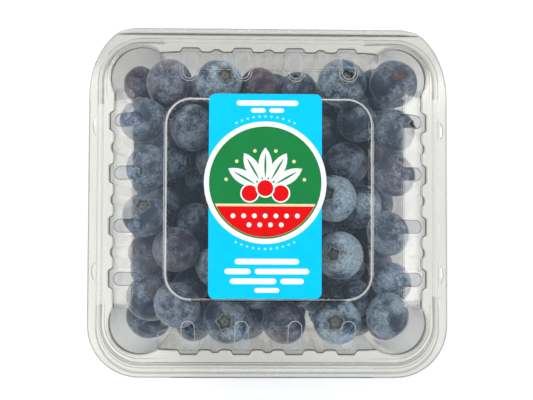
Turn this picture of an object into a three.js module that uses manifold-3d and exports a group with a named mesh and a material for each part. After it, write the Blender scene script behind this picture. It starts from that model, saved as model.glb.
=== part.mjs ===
// Punnet of blueberries: a clear thermoformed clamshell with its lid shut over a heap of berries,
// and a printed paper label on the lid.
// Millimetres, +Z up, hinge at the back (+Y). The origin lies under the middle of the whole, on the floor.
import * as THREE from 'three';
import { mergeVertices } from 'three/addons/utils/BufferGeometryUtils.js';
import Module from 'manifold-3d';

// ---- Sheet and heights ----
const WALL = 0.7; // thickness of the formed sheet
const SEAM = 0.3; // gap between the two flanges
const TRAY_RIM_Z = 50; // upper face of the tray's flange
const LID_RIM_Z = TRAY_RIM_Z + SEAM + WALL; // upper face of the lid's flange
const ROOF_Z = 58.2; // flat roof round the plateau
const PLATEAU_Z = 61.2; // raised middle of the roof, on which the next punnet stands

// ---- Flange, as reaches from the middle of the side walls ----
const FLANGE_X = 62;
const FLANGE_FRONT = 61;
const FLANGE_BACK = 57.4;
const FRONT_CORNER = { cx: 44, cy: 43, rx: 18, ry: 18, wrapX: 0, wrapY: 0 };
const BACK_CORNER = { cx: 44, cy: 36, rx: 18, ry: 24.7, wrapX: 0, wrapY: -30 };
const BEAD_HEIGHT = 1.1; // snap bead that runs round the flange
const BEAD_OUTER = { x: 59.1, front: 59.8, back: 56.2, radius: 15.5 };
const BEAD_INNER = { x: 57.1, front: 55.9, back: 54.2, radius: 13.5 };
const BEAD_SLOPE = 0.36; // share of its width in each of its slopes

// ---- Hinge: the creased strip behind the flange ----
const HINGE_HALF_LENGTH = 53;
const HINGE_REACH = 59.6;
const HINGE_ROLL = 0.9; // height of the roll along the crease
const HINGE_ROOT = FLANGE_BACK - 0.6; // where the strip grows out of the flange

// ---- Walls: reaches at the rim, the roof and the floor ----
const RIM = { x: 53.4, front: 51.7, back: 51.7, flute: 1.6, bump: 0.9 };
const LID_FOOT = { x: 53.1, front: 51.4, back: 51.4 };
const ROOF = { x: 45.9, front: 44.2, back: 44.2 };
const BASE = { x: 48.3, front: 46.5, back: 46.5, flute: 1, bump: 0.5 };
const FLUTE_PITCH = 18.1;
const FLUTES = [-1.5, -0.5, 0.5, 1.5]; // four a side, in pitches from its middle
const BUMPS = [-1, 0, 1]; // round bumps halfway between them
const FLUTE_FOOT = 3.8; // half width where a flute leaves the wall
const FLUTE_FACE = 2.8; // half width of its flat face
const BUMP_FOOT = 2.05;
const BUMP_FACE = 0.9;

// ---- Corner posts: round columns that bulge past the side walls ----
const POST_RIM = { cx: 43.6, cy: 42.1, rx: 11.4, ry: 11.4, wrapX: 27, wrapY: 35 };
const POST_ROOF = { ...POST_RIM, rx: 11, ry: 11 };
const POST_BASE = { ...POST_RIM, cx: 40.2, cy: 38.7, rx: 9.8, ry: 9.8 };
const POST_LEAN = 0.3; // how far the step beside a post leans from square
const POST_LOBE = 0.5; // share of its radius, inside its middle, at which a post's headroom starts
const ARC_STEPS = 8; // points along each corner

// ---- Plateau on the lid, and the recess under the tray that fits over it ----
const PLATEAU_FOOT = { x: 35.6, y: 34.7, radius: 9.3 };
const PLATEAU_TOP = { x: 34.1, y: 33.2, radius: 8 };
const ROOF_NECK = { x: 44.2, y: 42.5, radius: 2 }; // the roof without the lobes over the posts
const RECESS_EDGE = { x: 36.8, y: 35.9, radius: 9.5 };
const RECESS_ROOF = { x: 35.4, y: 34.5, radius: 8.1 };
const RECESS_Z = 3.9; // inner floor above the recess
const HEEL = 3; // height and width of the slope between wall and floor
const FLOOR_CORNER = 6.5;

// ---- Vent slots through the lid ----
const SLOT_LENGTH = 10.1;
const SLOT_WIDTH = 4.5;
const SLOT_INSET = 0.2; // from the foot of the lid's slope
const SLOT_END_SEGMENTS = 2;

// ---- Label ----
const LABEL_HALF_X = 19;
const LABEL_BACK = 35.4;
const LABEL_FRONT = -33.5;
const LABEL_X = -1.3; // stuck on a little to the left
const LABEL_CORNER = 2.2;
const LABEL_THICKNESS = 0.15;
const LABEL_GAP = 0.05;
const BADGE_Y = 5.5; // middle of the round bulge
const BADGE_RADIUS = 20.6;
const BADGE_SEGMENTS = 4; // along half of each arc

// ---- Berries ----
const BERRY_GAP = 0.35; // to the walls, the roof and the floor
const BERRY_SQUASH = 0.92; // height of a berry, from crown to stem, to its width
const NEST = 0.8; // how deep a lower berry nests between those over it
const TOUCH = 0.97; // distance at which two berries touch, to the sum of their radii
const SKIN_DEPTH = 13; // berries centred deeper than this behind the walls don't show
const BERRY_MIN = 6.9; // radii of the berries below the top layer
const BERRY_MAX = 8.3;
const LAYER_Z = [11.8, 24.2, 36.6];
const LOWER_TOP = 39; // none of them is centred higher
const LAYER_SPACING = 16.6;
const LAYER_REACH = 3; // rows and columns to each side of the middle
const JITTER = 1.6;
const SETTLE_ROUNDS = 120;
const MAX_BITE = 2.6; // a lower berry that still cuts deeper into a neighbour is left out
const CORE_BOTTOM = { z: 12.5, x: 39.5, y: 37.8 };
const CORE_TOP = { z: 44.5, x: 44.4, y: 42.7 };
const SEED = 20817;

// The berries of the top layer, those on top first:
// x, y, radius, and how far the crown's axis leans in x and y.
const TOP_BERRIES = [
  [-31.2, -36.2, 8.4, 0.3, -0.3], [-31.9, -17.2, 8.2, -0.3, 0.2], [-42.8, -5.2, 7.7, 0, 0.5],
  [-41.9, 11.2, 7.9, 0.3, -0.3], [-43.6, 27.8, 8.3, -0.6, 0.1], [-34.8, 41.7, 8.8, 0.2, 0.1],
  [-17.2, 41.2, 8.2, 0.33, 0.25], [25.9, 43.1, 8.6, 0.16, 0.16], [43.7, 41.1, 8.4, 0.12, 0.28],
  [-26.9, 25.9, 8.4, -0.2, 0.3], [-18.4, 15.2, 7.6, -0.3, 0.4], [22.6, 0.7, 8.2, -0.35, 0.22],
  [43.9, 9.0, 7.6, 0.42, 0.7], [41.6, -11.0, 7.7, -0.3, -0.2], [24.9, -19.0, 8.3, -0.4, 0.04],
  [41.6, -39.6, 8.0, -0.4, -0.3], [24.2, -41.7, 8.3, -0.17, 0], [-13.9, -41.4, 8.3, -0.12, -0.04],
  [5.7, -43.0, 8.0, 0.3, 0.5], [-3.2, 40.2, 7.2, 0.6, -0.1], [6.4, 25.9, 7.7, -0.4, 0.2],
  [-2.2, 11.4, 7.8, 0.2, 0.3], [-8.8, -2.1, 7.6, -0.3, 0.4], [6.8, -1.4, 7.8, 0.4, -0.3],
  [-2.2, -16.6, 7.7, 0.1, 0.5], [-18.1, -23.1, 7.4, -0.4, -0.2], [10.9, -29.7, 7.5, 0.4, 0.2],
  [-4.6, -30.7, 7.6, 0.2, 0.4], [45.4, 24.9, 7.4, 0.8, 0.1], [32.0, 28.4, 7.5, -0.3, 0.6],
  [28.2, 13.8, 8.2, 0.1, 0.6], [33.2, -1.6, 7.9, 0.4, -0.3], [44.0, -28.6, 7.6, 0.3, 0.5],
  [-9.5, 27.3, 7.6, 0.3, -0.2], [10.6, 39.7, 6.7, -0.15, 0.58], [-41.5, -34.2, 8.4, 0.16, 0.37],
  [-41.9, -18.3, 7.3, 0, -0.64], [-23.6, 7.8, 7.1, 0.5, 0.2], [-27.7, -30.7, 7.1, 0.2, 0.5],
  [-47.0, 42.2, 6.9, -0.3, 0.5], [-44.1, -43.5, 8.4, -0.4, -0.4], [42.6, -45.0, 7.4, 0.4, -0.4],
  [39.9, -0.7, 6.4, 0.5, 0.5], [38.5, 42.4, 5.9, 0.2, 0.3], [19.5, 25.2, 6.4, 0.3, 0.2],
  [23.7, 19.0, 6.6, 0.2, 0.1], [-25.7, -7.2, 6.6, 0.1, 0.2], [28.2, -23.1, 6.9, 0.4, 0.3],
  [-26.2, -45.4, 6.8, 0.2, -0.4], [-6.7, -44.2, 6.4, 0.3, -0.3], [17.8, -34.2, 6.2, -0.2, 0.2],
  [33.0, -45.2, 6.6, 0.1, 0.4], [17.8, -10.7, 5.9, 0.3, 0.1], [-31.2, -1.4, 5.9, -0.2, 0.3],
];

// ---- Looks ----
const CLEAR_PLASTIC = { color: 0xe6eae8, roughness: 0.08, metalness: 0, transparent: true, opacity: 0.35 };
const LABEL_CYAN = { color: 0x00dbff, roughness: 0.45, metalness: 0 };
const BERRY_BLUE = { color: 0x5a6880, roughness: 0.6, metalness: 0 };

const SIDES = ['front', 'x', 'back', 'x']; // counterclockwise from the front
const mix = (from, to, share) => from + (to - from) * share;
const wasm = await Module();
wasm.setup();

function toSolid(geometry) {
  const bare = geometry.index ? geometry.toNonIndexed() : geometry.clone();
  bare.deleteAttribute('normal');
  bare.deleteAttribute('uv');
  const merged = mergeVertices(bare);
  const vertProperties = Float32Array.from(merged.attributes.position.array);
  const triVerts = Uint32Array.from(merged.index.array);
  return new wasm.Manifold(new wasm.Mesh({ numProp: 3, vertProperties, triVerts }));
}

function toGeometry(solid) {
  const mesh = solid.getMesh();
  const geometry = new THREE.BufferGeometry();
  geometry.setAttribute('position', new THREE.BufferAttribute(mesh.vertProperties, 3));
  geometry.setIndex(new THREE.BufferAttribute(mesh.triVerts, 1));
  geometry.computeVertexNormals();
  return geometry;
}

// A point beside one of the four sides: so far along it, counterclockwise, and so far out.
function besideSide(side, along, out) {
  const turned = [[along, -out], [out, along], [-along, out], [-out, -along]];
  return new THREE.Vector2(...turned[side]);
}

// The points along one side: [along, how much of the flute's depth, how much of the bump's].
// A fluted side bends round every flute and bump, a stepped or marked one only has points beside
// each flute, and a plain one has none.
function sideStations(kind) {
  const stations = [];
  for (const middle of FLUTES.map((flute) => flute * FLUTE_PITCH)) {
    stations.push([middle - FLUTE_FOOT, 0, 0], [middle + FLUTE_FOOT, 0, 0]);
    if (kind === 'fluted') stations.push([middle - FLUTE_FACE, 1, 0], [middle + FLUTE_FACE, 1, 0]);
  }
  for (const middle of kind === 'fluted' ? BUMPS.map((bump) => bump * FLUTE_PITCH) : []) {
    stations.push([middle - BUMP_FOOT, 0, 0], [middle + BUMP_FOOT, 0, 0]);
    stations.push([middle - BUMP_FACE, 0, 1], [middle + BUMP_FACE, 0, 1]);
  }
  return kind === 'plain' ? [] : stations.sort((one, other) => one[0] - other[0]);
}

// The arc round one corner, counterclockwise, in the quadrant after the given side.
function cornerArc(side, corner) {
  const signX = side === 0 || side === 1 ? 1 : -1;
  const signY = side === 1 || side === 2 ? 1 : -1;
  const points = [];
  for (let step = 0; step < ARC_STEPS; step++) {
    const degrees = THREE.MathUtils.lerp(-corner.wrapX, 90 + corner.wrapY, step / (ARC_STEPS - 1));
    const angle = THREE.MathUtils.degToRad(degrees);
    const x = corner.cx + corner.rx * Math.cos(angle);
    const y = corner.cy + corner.ry * Math.sin(angle);
    points.push(new THREE.Vector2(signX * x, signY * y));
  }
  return side % 2 === 1 ? points : points.reverse();
}

// One closed outline at one height, counterclockwise from the front left corner. A fluted or stepped
// one steps out square beside each corner.
function outline(kind, z, reach, frontCorner, backCorner, inset = 0) {
  const steps = kind === 'fluted' || kind === 'stepped';
  const narrow = (corner) => ({ ...corner, rx: corner.rx - inset, ry: corner.ry - inset });
  const arcs = [0, 1, 2, 3].map((side) => cornerArc(side, narrow(side % 3 === 0 ? frontCorner : backCorner)));
  const points = [];
  for (let side = 0; side < 4; side++) {
    const out = reach[SIDES[side]] - inset;
    const axis = side % 2 === 0 ? 'x' : 'y';
    const before = arcs[(side + 3) % 4];
    const start = Math.abs(before.at(-1)[axis]) - POST_LEAN;
    const end = Math.abs(arcs[side][0][axis]) - POST_LEAN;
    const squeeze = Math.min(1, (end - POST_LEAN) / (FLUTES.at(-1) * FLUTE_PITCH + FLUTE_FOOT));
    points.push(...before);
    if (steps) points.push(besideSide(side, -start, out));
    for (const [along, flute, bump] of sideStations(kind)) {
      const raised = flute * (reach.flute ?? 0) + bump * (reach.bump ?? 0);
      points.push(besideSide(side, along * squeeze, out + raised));
    }
    if (steps) points.push(besideSide(side, end, out));
  }
  return points.map((point) => new THREE.Vector3(point.x, point.y, z));
}

function roundedOutline(kind, z, size, inset = 0) {
  const reach = { x: size.x, front: size.y, back: size.y };
  const corner = { cx: size.x - size.radius, cy: size.y - size.radius, rx: size.radius, ry: size.radius };
  const square = { ...corner, wrapX: 0, wrapY: 0 };
  return outline(kind, z, reach, square, square, inset);
}

// The triangles between two outlines: pairs where they match, and the shorter diagonal where they don't.
function stitch(inner, outer, face) {
  const matched = inner.length === outer.length;
  let i = 0;
  let j = 0;
  while (i < inner.length || j < outer.length) {
    const [a, nextA] = [inner[i % inner.length], inner[(i + 1) % inner.length]];
    const [b, nextB] = [outer[j % outer.length], outer[(j + 1) % outer.length]];
    const shorter = matched ? i === j : a.distanceTo(nextB) < b.distanceTo(nextA);
    if (i === inner.length || (j < outer.length && shorter)) {
      face(a, b, nextB);
      j++;
    } else {
      face(a, b, nextA);
      i++;
    }
  }
}

// A closed body between two poles: outlines from the middle of its upper skin to that of its lower skin.
function loft(outlines) {
  const positions = [];
  const face = (...corners) => corners.forEach((corner) => positions.push(corner.x, corner.y, corner.z));
  const cap = (ring, top) => {
    const pole = new THREE.Vector3(0, 0, ring[0].z);
    ring.forEach((point, index) => {
      const next = ring[(index + 1) % ring.length];
      face(pole, top ? point : next, top ? next : point);
    });
  };
  cap(outlines[0], true);
  for (let band = 0; band + 1 < outlines.length; band++) {
    stitch(outlines[band], outlines[band + 1], face);
  }
  cap(outlines.at(-1), false);
  const geometry = new THREE.BufferGeometry();
  geometry.setAttribute('position', new THREE.Float32BufferAttribute(positions, 3));
  return toSolid(geometry);
}

// One line of the snap bead: its share of the way from the bead's inner edge to its outer edge.
function beadOutline(kind, z, share) {
  const [x, front, back, radius] = ['x', 'front', 'back', 'radius'].map((key) => {
    return mix(BEAD_INNER[key], BEAD_OUTER[key], share);
  });
  const middle = { cx: x - radius, rx: radius, ry: radius, wrapX: 0, wrapY: 0 };
  const frontCorner = { ...middle, cy: front - radius };
  const backCorner = { ...middle, cy: back - radius };
  return outline(kind, z, { x, front, back }, frontCorner, backCorner);
}

// The flange from its inner edge to its outer edge, over the snap bead.
function flangeOutlines(z) {
  const edge = { x: FLANGE_X, front: FLANGE_FRONT, back: FLANGE_BACK };
  return [
    beadOutline('marked', z, 0),
    beadOutline('plain', z + BEAD_HEIGHT, BEAD_SLOPE),
    beadOutline('plain', z + BEAD_HEIGHT, 1 - BEAD_SLOPE),
    beadOutline('plain', z, 1),
    outline('plain', z, edge, FRONT_CORNER, BACK_CORNER),
  ];
}

// Half of the hinge: a strip along the back of a flange with a low roll on its free side.
function hingeStrip(innerZ, towards) {
  const outerZ = innerZ + towards * WALL;
  const crestZ = outerZ + towards * HINGE_ROLL;
  const width = HINGE_REACH - FLANGE_BACK;
  const section = [
    [HINGE_ROOT, innerZ],
    [HINGE_REACH, innerZ],
    [HINGE_REACH, outerZ],
    [HINGE_REACH - width / 4, crestZ],
    [FLANGE_BACK + width / 4, crestZ],
    [FLANGE_BACK, outerZ],
    [HINGE_ROOT, outerZ],
  ];
  const shape = new THREE.Shape(section.map(([y, z]) => new THREE.Vector2(y, z)));
  const geometry = new THREE.ExtrudeGeometry(shape, { depth: 2 * HINGE_HALF_LENGTH, bevelEnabled: false });
  // The section's x and y become the part's y and z, and the extrusion runs along x.
  const turn = new THREE.Matrix4().set(0, 0, 1, -HINGE_HALF_LENGTH, 1, 0, 0, 0, 0, 1, 0, 0, 0, 0, 0, 1);
  geometry.applyMatrix4(turn);
  return toSolid(geometry);
}

function slotCutter(side, along) {
  const radius = SLOT_WIDTH / 2;
  const half = SLOT_LENGTH / 2 - radius;
  const shape = new THREE.Shape();
  shape.absarc(0, -half, radius, Math.PI, 2 * Math.PI);
  shape.absarc(0, half, radius, 0, Math.PI);
  const depth = PLATEAU_Z - TRAY_RIM_Z;
  const options = { depth, bevelEnabled: false, curveSegments: SLOT_END_SEGMENTS };
  const geometry = new THREE.ExtrudeGeometry(shape, options);
  const middle = besideSide(side, along, LID_FOOT[SIDES[side]] - SLOT_INSET - SLOT_LENGTH / 2);
  geometry.rotateZ(side * Math.PI / 2);
  geometry.translate(middle.x, middle.y, TRAY_RIM_Z);
  return toSolid(geometry);
}

function makeLid() {
  const skin = (drop) => [
    roundedOutline('plain', PLATEAU_Z - drop, PLATEAU_TOP, drop),
    roundedOutline('plain', ROOF_Z - drop, PLATEAU_FOOT, drop),
    roundedOutline('marked', ROOF_Z - drop, ROOF_NECK, drop),
    outline('stepped', ROOF_Z - drop, ROOF, POST_ROOF, POST_ROOF, drop),
    outline('stepped', LID_RIM_Z - drop, LID_FOOT, POST_RIM, POST_RIM, drop),
    ...flangeOutlines(LID_RIM_Z - drop),
  ];
  let lid = loft([...skin(0), ...skin(WALL).reverse()]);
  lid = lid.add(hingeStrip(LID_RIM_Z - WALL, 1));
  for (let side = 0; side < 4; side++) {
    for (const flute of FLUTES) {
      lid = lid.subtract(slotCutter(side, flute * FLUTE_PITCH));
    }
  }
  return toGeometry(lid);
}

function makeTray() {
  const floor = { x: BASE.x - HEEL, y: BASE.front - HEEL, radius: FLOOR_CORNER };
  const skin = (lift) => [
    roundedOutline('plain', RECESS_Z - WALL + lift, RECESS_ROOF, -lift),
    roundedOutline('plain', lift, RECESS_EDGE, -lift),
    roundedOutline('marked', lift, floor, lift),
    outline('fluted', HEEL, BASE, POST_BASE, POST_BASE, lift),
    outline('fluted', TRAY_RIM_Z - WALL + lift, RIM, POST_RIM, POST_RIM, lift),
    ...flangeOutlines(TRAY_RIM_Z - WALL + lift),
  ];
  const tray = loft([...skin(WALL), ...skin(0).reverse()]);
  return toGeometry(tray.add(hingeStrip(TRAY_RIM_Z, -1)));
}

// A rounded rectangle whose long sides bulge into a circle.
function makeLabel() {
  const meet = Math.sqrt(BADGE_RADIUS ** 2 - LABEL_HALF_X ** 2);
  const swing = Math.atan2(meet, LABEL_HALF_X);
  const right = LABEL_HALF_X - LABEL_CORNER;
  const back = LABEL_BACK - LABEL_CORNER;
  const front = LABEL_FRONT + LABEL_CORNER;
  const shape = new THREE.Shape();
  shape.absarc(right, front, LABEL_CORNER, -Math.PI / 2, 0);
  shape.absarc(0, BADGE_Y, BADGE_RADIUS, -swing, swing);
  shape.absarc(right, back, LABEL_CORNER, 0, Math.PI / 2);
  shape.absarc(-right, back, LABEL_CORNER, Math.PI / 2, Math.PI);
  shape.absarc(0, BADGE_Y, BADGE_RADIUS, Math.PI - swing, Math.PI + swing);
  shape.absarc(-right, front, LABEL_CORNER, Math.PI, 1.5 * Math.PI);
  const options = { depth: LABEL_THICKNESS, bevelEnabled: false, curveSegments: BADGE_SEGMENTS };
  const geometry = new THREE.ExtrudeGeometry(shape, options);
  geometry.translate(LABEL_X, 0, PLATEAU_Z + LABEL_GAP);
  return toGeometry(toSolid(geometry));
}

function seededRandom(seed) {
  let state = seed;
  return () => {
    state = (Math.imul(state, 1664525) + 1013904223) >>> 0;
    return state / 2 ** 32;
  };
}

// How far from the middle a berry's centre may lie at one height, on the side walls.
function wallLimit(rim, base, radius, z) {
  const share = Math.min(1, Math.max(0, z / TRAY_RIM_Z));
  return mix(base, rim, share) - WALL - BERRY_GAP - radius;
}

// The highest place for a berry's centre under the roof and under the lid's slopes.
function ceiling(x, y, radius) {
  const clear = radius + BERRY_GAP;
  let top = ROOF_Z - WALL - clear;
  const besideX = Math.abs(x) < POST_RIM.cx - POST_LOBE * POST_RIM.rx;
  const besideY = Math.abs(y) < POST_RIM.cy - POST_LOBE * POST_RIM.ry;
  if (besideX || besideY) {
    const rise = Math.SQRT2 * clear;
    top = Math.min(top, LID_FOOT.x + LID_RIM_Z - 2 * WALL - Math.abs(x) - rise);
    top = Math.min(top, LID_FOOT.front + LID_RIM_Z - 2 * WALL - Math.abs(y) - rise);
  }
  return top;
}

// Moves a berry inside the tray's walls, floor and corner posts.
function contain(berry) {
  const { radius } = berry;
  berry.z = Math.max(RECESS_Z + BERRY_GAP + radius, berry.z);
  if (!berry.fixed) berry.z = Math.min(LOWER_TOP, ceiling(berry.x, berry.y, radius), berry.z);
  const share = Math.min(1, Math.max(0, berry.z / TRAY_RIM_Z));
  const postX = mix(POST_BASE.cx, POST_RIM.cx, share);
  const postY = mix(POST_BASE.cy, POST_RIM.cy, share);
  const reach = mix(POST_BASE.rx, POST_RIM.rx, share) - WALL - BERRY_GAP - radius;
  const overX = Math.abs(berry.x) - postX;
  const overY = Math.abs(berry.y) - postY;
  if (overX > 0 && overY > 0) {
    const inward = Math.min(1, reach / Math.sqrt(overX * overX + overY * overY));
    berry.x = Math.sign(berry.x) * (postX + overX * inward);
    berry.y = Math.sign(berry.y) * (postY + overY * inward);
    return;
  }
  const limitX = wallLimit(RIM.x, BASE.x, radius, berry.z);
  const limitY = wallLimit(RIM.front, BASE.front, radius, berry.z);
  berry.x = Math.min(limitX, Math.max(-limitX, berry.x));
  berry.y = Math.min(limitY, Math.max(-limitY, berry.y));
}

// Each berry of the top layer lies as high as the roof and those before it in the list let it.
function placeTopLayer() {
  const berries = [];
  for (const [x, y, radius, leanX, leanY] of TOP_BERRIES) {
    let z = ceiling(x, y, radius);
    for (const upper of berries) {
      const apart = (x - upper.x) ** 2 + (y - upper.y) ** 2;
      const touch = (radius + upper.radius) ** 2;
      if (apart < touch) {
        z = Math.min(z, upper.z - NEST * Math.sqrt(touch - apart));
      }
    }
    const berry = { x, y, z, radius, leanX, leanY, fixed: true };
    contain(berry);
    berries.push(berry);
  }
  return berries;
}

// The layers below start on a staggered grid.
function scatterLowerLayers(random) {
  const berries = [];
  LAYER_Z.forEach((z, layer) => {
    for (let row = -LAYER_REACH; row <= LAYER_REACH; row++) {
      for (let column = -LAYER_REACH; column <= LAYER_REACH; column++) {
        const stagger = layer % 2 === 0 ? 0 : 0.5;
        const x = (column + stagger) * LAYER_SPACING + (2 * random() - 1) * JITTER;
        const y = (row + stagger) * LAYER_SPACING + (2 * random() - 1) * JITTER;
        const radius = mix(BERRY_MIN, BERRY_MAX, random());
        const leanX = 2 * random() - 1;
        const leanY = (2 * random() - 1) * Math.sqrt(1 - leanX * leanX);
        const berry = { x, y, z: z + (2 * random() - 1) * JITTER, radius, leanX, leanY, fixed: false };
        const outside = Math.abs(x) > BASE.x || Math.abs(y) > BASE.front;
        if (!outside) {
          contain(berry);
          berries.push(berry);
        }
      }
    }
  });
  return berries;
}

// How deep two berries cut into each other, and the direction between them.
function bite(one, other) {
  const [dx, dy, dz] = [other.x - one.x, other.y - one.y, other.z - one.z];
  const distance = Math.sqrt(dx * dx + dy * dy + dz * dz) || 1;
  const depth = (one.radius + other.radius) * TOUCH - distance;
  return { depth, dx: dx / distance, dy: dy / distance, dz: dz / distance };
}

function settle(berries) {
  for (let round = 0; round < SETTLE_ROUNDS; round++) {
    for (let i = 0; i < berries.length; i++) {
      for (let j = i + 1; j < berries.length; j++) {
        const [one, other] = [berries[i], berries[j]];
        if (one.fixed && other.fixed) continue;
        const { depth, dx, dy, dz } = bite(one, other);
        if (depth <= 0) continue;
        const oneShare = one.fixed ? 0 : (other.fixed ? 1 : 0.5) * depth;
        const otherShare = other.fixed ? 0 : (one.fixed ? 1 : 0.5) * depth;
        one.x -= dx * oneShare;
        one.y -= dy * oneShare;
        one.z -= dz * oneShare;
        other.x += dx * otherShare;
        other.y += dy * otherShare;
        other.z += dz * otherShare;
      }
    }
    berries.filter((berry) => !berry.fixed).forEach(contain);
  }
  return berries.filter((berry, index) => {
    if (berry.fixed) return true;
    return berries.every((other, at) => at >= index || bite(berry, other).depth < MAX_BITE);
  });
}

function makeBerrySolid({ x, y, z, radius, leanX, leanY }) {
  const geometry = new THREE.IcosahedronGeometry(radius, 1);
  geometry.scale(1, 1, BERRY_SQUASH);
  const up = Math.sqrt(Math.max(0, 1 - leanX * leanX - leanY * leanY));
  const crown = new THREE.Vector3(leanX, leanY, up).normalize();
  const turn = new THREE.Quaternion().setFromUnitVectors(new THREE.Vector3(0, 0, 1), crown);
  geometry.applyQuaternion(turn);
  geometry.translate(x, y, z);
  return toSolid(geometry);
}

// The core is a square frustum; its four corners lie within the corner berries.
function makeCore() {
  const height = CORE_TOP.z - CORE_BOTTOM.z;
  const geometry = new THREE.CylinderGeometry(Math.SQRT2, Math.SQRT2, height, 4, 1);
  geometry.rotateY(Math.PI / 4);
  geometry.rotateX(Math.PI / 2);
  const place = geometry.attributes.position;
  for (let i = 0; i < place.count; i++) {
    const size = place.getZ(i) > 0 ? CORE_TOP : CORE_BOTTOM;
    place.setXYZ(i, place.getX(i) * size.x, place.getY(i) * size.y, size.z);
  }
  return toSolid(geometry);
}

function isAtSkin(berry) {
  const nearX = wallLimit(RIM.x, BASE.x, 0, berry.z) - Math.abs(berry.x) < SKIN_DEPTH;
  const nearY = wallLimit(RIM.front, BASE.front, 0, berry.z) - Math.abs(berry.y) < SKIN_DEPTH;
  return berry.fixed || nearX || nearY;
}

function makeBerries() {
  const random = seededRandom(SEED);
  const heap = settle([...placeTopLayer(), ...scatterLowerLayers(random)]);
  const pieces = heap.filter(isAtSkin).map(makeBerrySolid);
  const fused = wasm.Manifold.union([makeCore(), ...pieces]);
  const shells = fused.decompose();
  shells.sort((one, other) => other.volume() - one.volume());
  return toGeometry(shells[0]);
}

function addPiece(group, name, geometry, looks) {
  const mesh = new THREE.Mesh(geometry, new THREE.MeshStandardMaterial(looks));
  mesh.name = name;
  group.add(mesh);
}

const punnet = new THREE.Group();
const clamshell = new THREE.Group();
clamshell.position.y = (FLANGE_FRONT - HINGE_REACH) / 2;
addPiece(clamshell, 'tray', makeTray(), CLEAR_PLASTIC);
addPiece(clamshell, 'lid', makeLid(), CLEAR_PLASTIC);
addPiece(clamshell, 'label', makeLabel(), LABEL_CYAN);
addPiece(clamshell, 'berries', makeBerries(), BERRY_BLUE);
punnet.add(clamshell);

export default punnet;
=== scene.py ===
"""Punnet of blueberries: the looks of a clear clamshell, its printed label and its berries."""
import itertools
import math
import random

import bmesh
import bpy
import numpy as np
from mathutils import Matrix, Quaternion, Vector, geometry, noise
from mathutils.bvhtree import BVHTree


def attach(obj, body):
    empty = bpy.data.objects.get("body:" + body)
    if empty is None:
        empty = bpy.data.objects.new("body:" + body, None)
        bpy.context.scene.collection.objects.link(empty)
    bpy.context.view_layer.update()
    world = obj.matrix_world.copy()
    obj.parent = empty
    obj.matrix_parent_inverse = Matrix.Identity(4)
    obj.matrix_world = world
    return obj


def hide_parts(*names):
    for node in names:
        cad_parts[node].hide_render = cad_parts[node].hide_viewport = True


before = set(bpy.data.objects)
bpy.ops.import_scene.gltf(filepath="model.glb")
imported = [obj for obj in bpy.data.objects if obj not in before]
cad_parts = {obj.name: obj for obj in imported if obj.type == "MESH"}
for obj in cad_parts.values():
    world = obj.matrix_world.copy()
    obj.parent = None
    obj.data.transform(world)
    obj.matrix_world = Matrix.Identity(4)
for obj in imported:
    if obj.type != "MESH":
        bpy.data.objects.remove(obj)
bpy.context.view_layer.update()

MM = 0.001
SHIFT_Y = 0.7  # mm from the middle of the side walls to the middle of the whole
SEED = 20817


def mix(low, high, share):
    return low + (high - low) * share


def smooth(share):
    """An S-curve from 0 to 1."""
    share = min(1.0, max(0.0, share))
    return share * share * (3 - 2 * share)


def sides(x, front, back=None, **more):
    """How far a shape reaches to its left and right, to the front and to the back."""
    return {"x": x, "front": front, "back": back or front, **more}


def corner(cx, cy, rx, ry=None, wrap_x=0, wrap_y=0):
    """A corner's arc: its middle, its radii, and how many degrees it goes on past each end."""
    return {"cx": cx, "cy": cy, "rx": rx, "ry": ry or rx, "wrap_x": wrap_x, "wrap_y": wrap_y}


# ---- Sizes of the clamshell, in mm, as in the frame ----
SHEET = 0.5  # thickness of the shown sheet
WALL = 0.7  # thickness of the frame's sheet
TRAY_RIM_Z = 50
LID_RIM_Z = 51
ROOF_Z = 58.2
PLATEAU_Z = 61.2

FLANGE = sides(62, 61, 57.4)
FRONT_CORNER = corner(44, 43, 18)
BACK_CORNER = corner(44, 36, 18, 24.7, wrap_y=-30)
FLANGE_SHARES = (0.08, 0.17, 0.27, 0.37, 0.47, 0.6, 0.8)  # its rings, from the bead to its edge
BEAD_HEIGHT = 1.1
BEAD_OUTER = sides(59.1, 59.8, 56.2, radius=15.5)
BEAD_INNER = sides(57.1, 55.9, 54.2, radius=13.5)
BEAD_SLOPE = 0.3
BEAD_BANDS = (0.45, 0.67)  # where its grey bands end, as shares of its width
EDGE_LIP = 0.3  # the flange's edge curls down over this width
EDGE_DROP = 0.3

HINGE_HALF_LENGTH = 53
HINGE_TAPER = 4.5
HINGE_WIDTH = 2.2

RIM = sides(53.4, 51.7, flute=1.6, bump=0.9)
LID_FOOT = sides(53.1, 51.4)
ROOF = sides(45.9, 44.2)
BASE = sides(48.3, 46.5, flute=1, bump=0.5)
PITCH = 18.1
FLUTES = (-1.5, -0.5, 0.5, 1.5)
BUMPS = (-1, 0, 1)
FLUTE_FOOT, FLUTE_FACE = 3.8, 2.8
BUMP_FOOT, BUMP_FACE = 2.05, 0.9
FLUTE_STEPS = (0, 1.2, 2.1, 2.6, 2.8, 3.0, 3.2, 3.4, 3.6, 3.85, 4.3)
BUMP_STEPS = (0, 0.45, 0.8, 1.05, 1.3, 1.55, 1.8, 2.05, 2.5)
END_STATIONS = (-33.6, -32.4, 32.4, 33.6)
END_ROOM = 3.1  # from the last flute's foot to the corner

POST_RIM = corner(43.6, 42.1, 11.4, wrap_x=27, wrap_y=35)
POST_ROOF = {**POST_RIM, "rx": 11, "ry": 11}
POST_BASE = {**POST_RIM, "cx": 40.2, "cy": 38.7, "rx": 9.8, "ry": 9.8}
POST_LEAN = 0.3
POST_LOBE = 0.5
ARC_STEPS = 27
STEP_STEPS = 7

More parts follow.
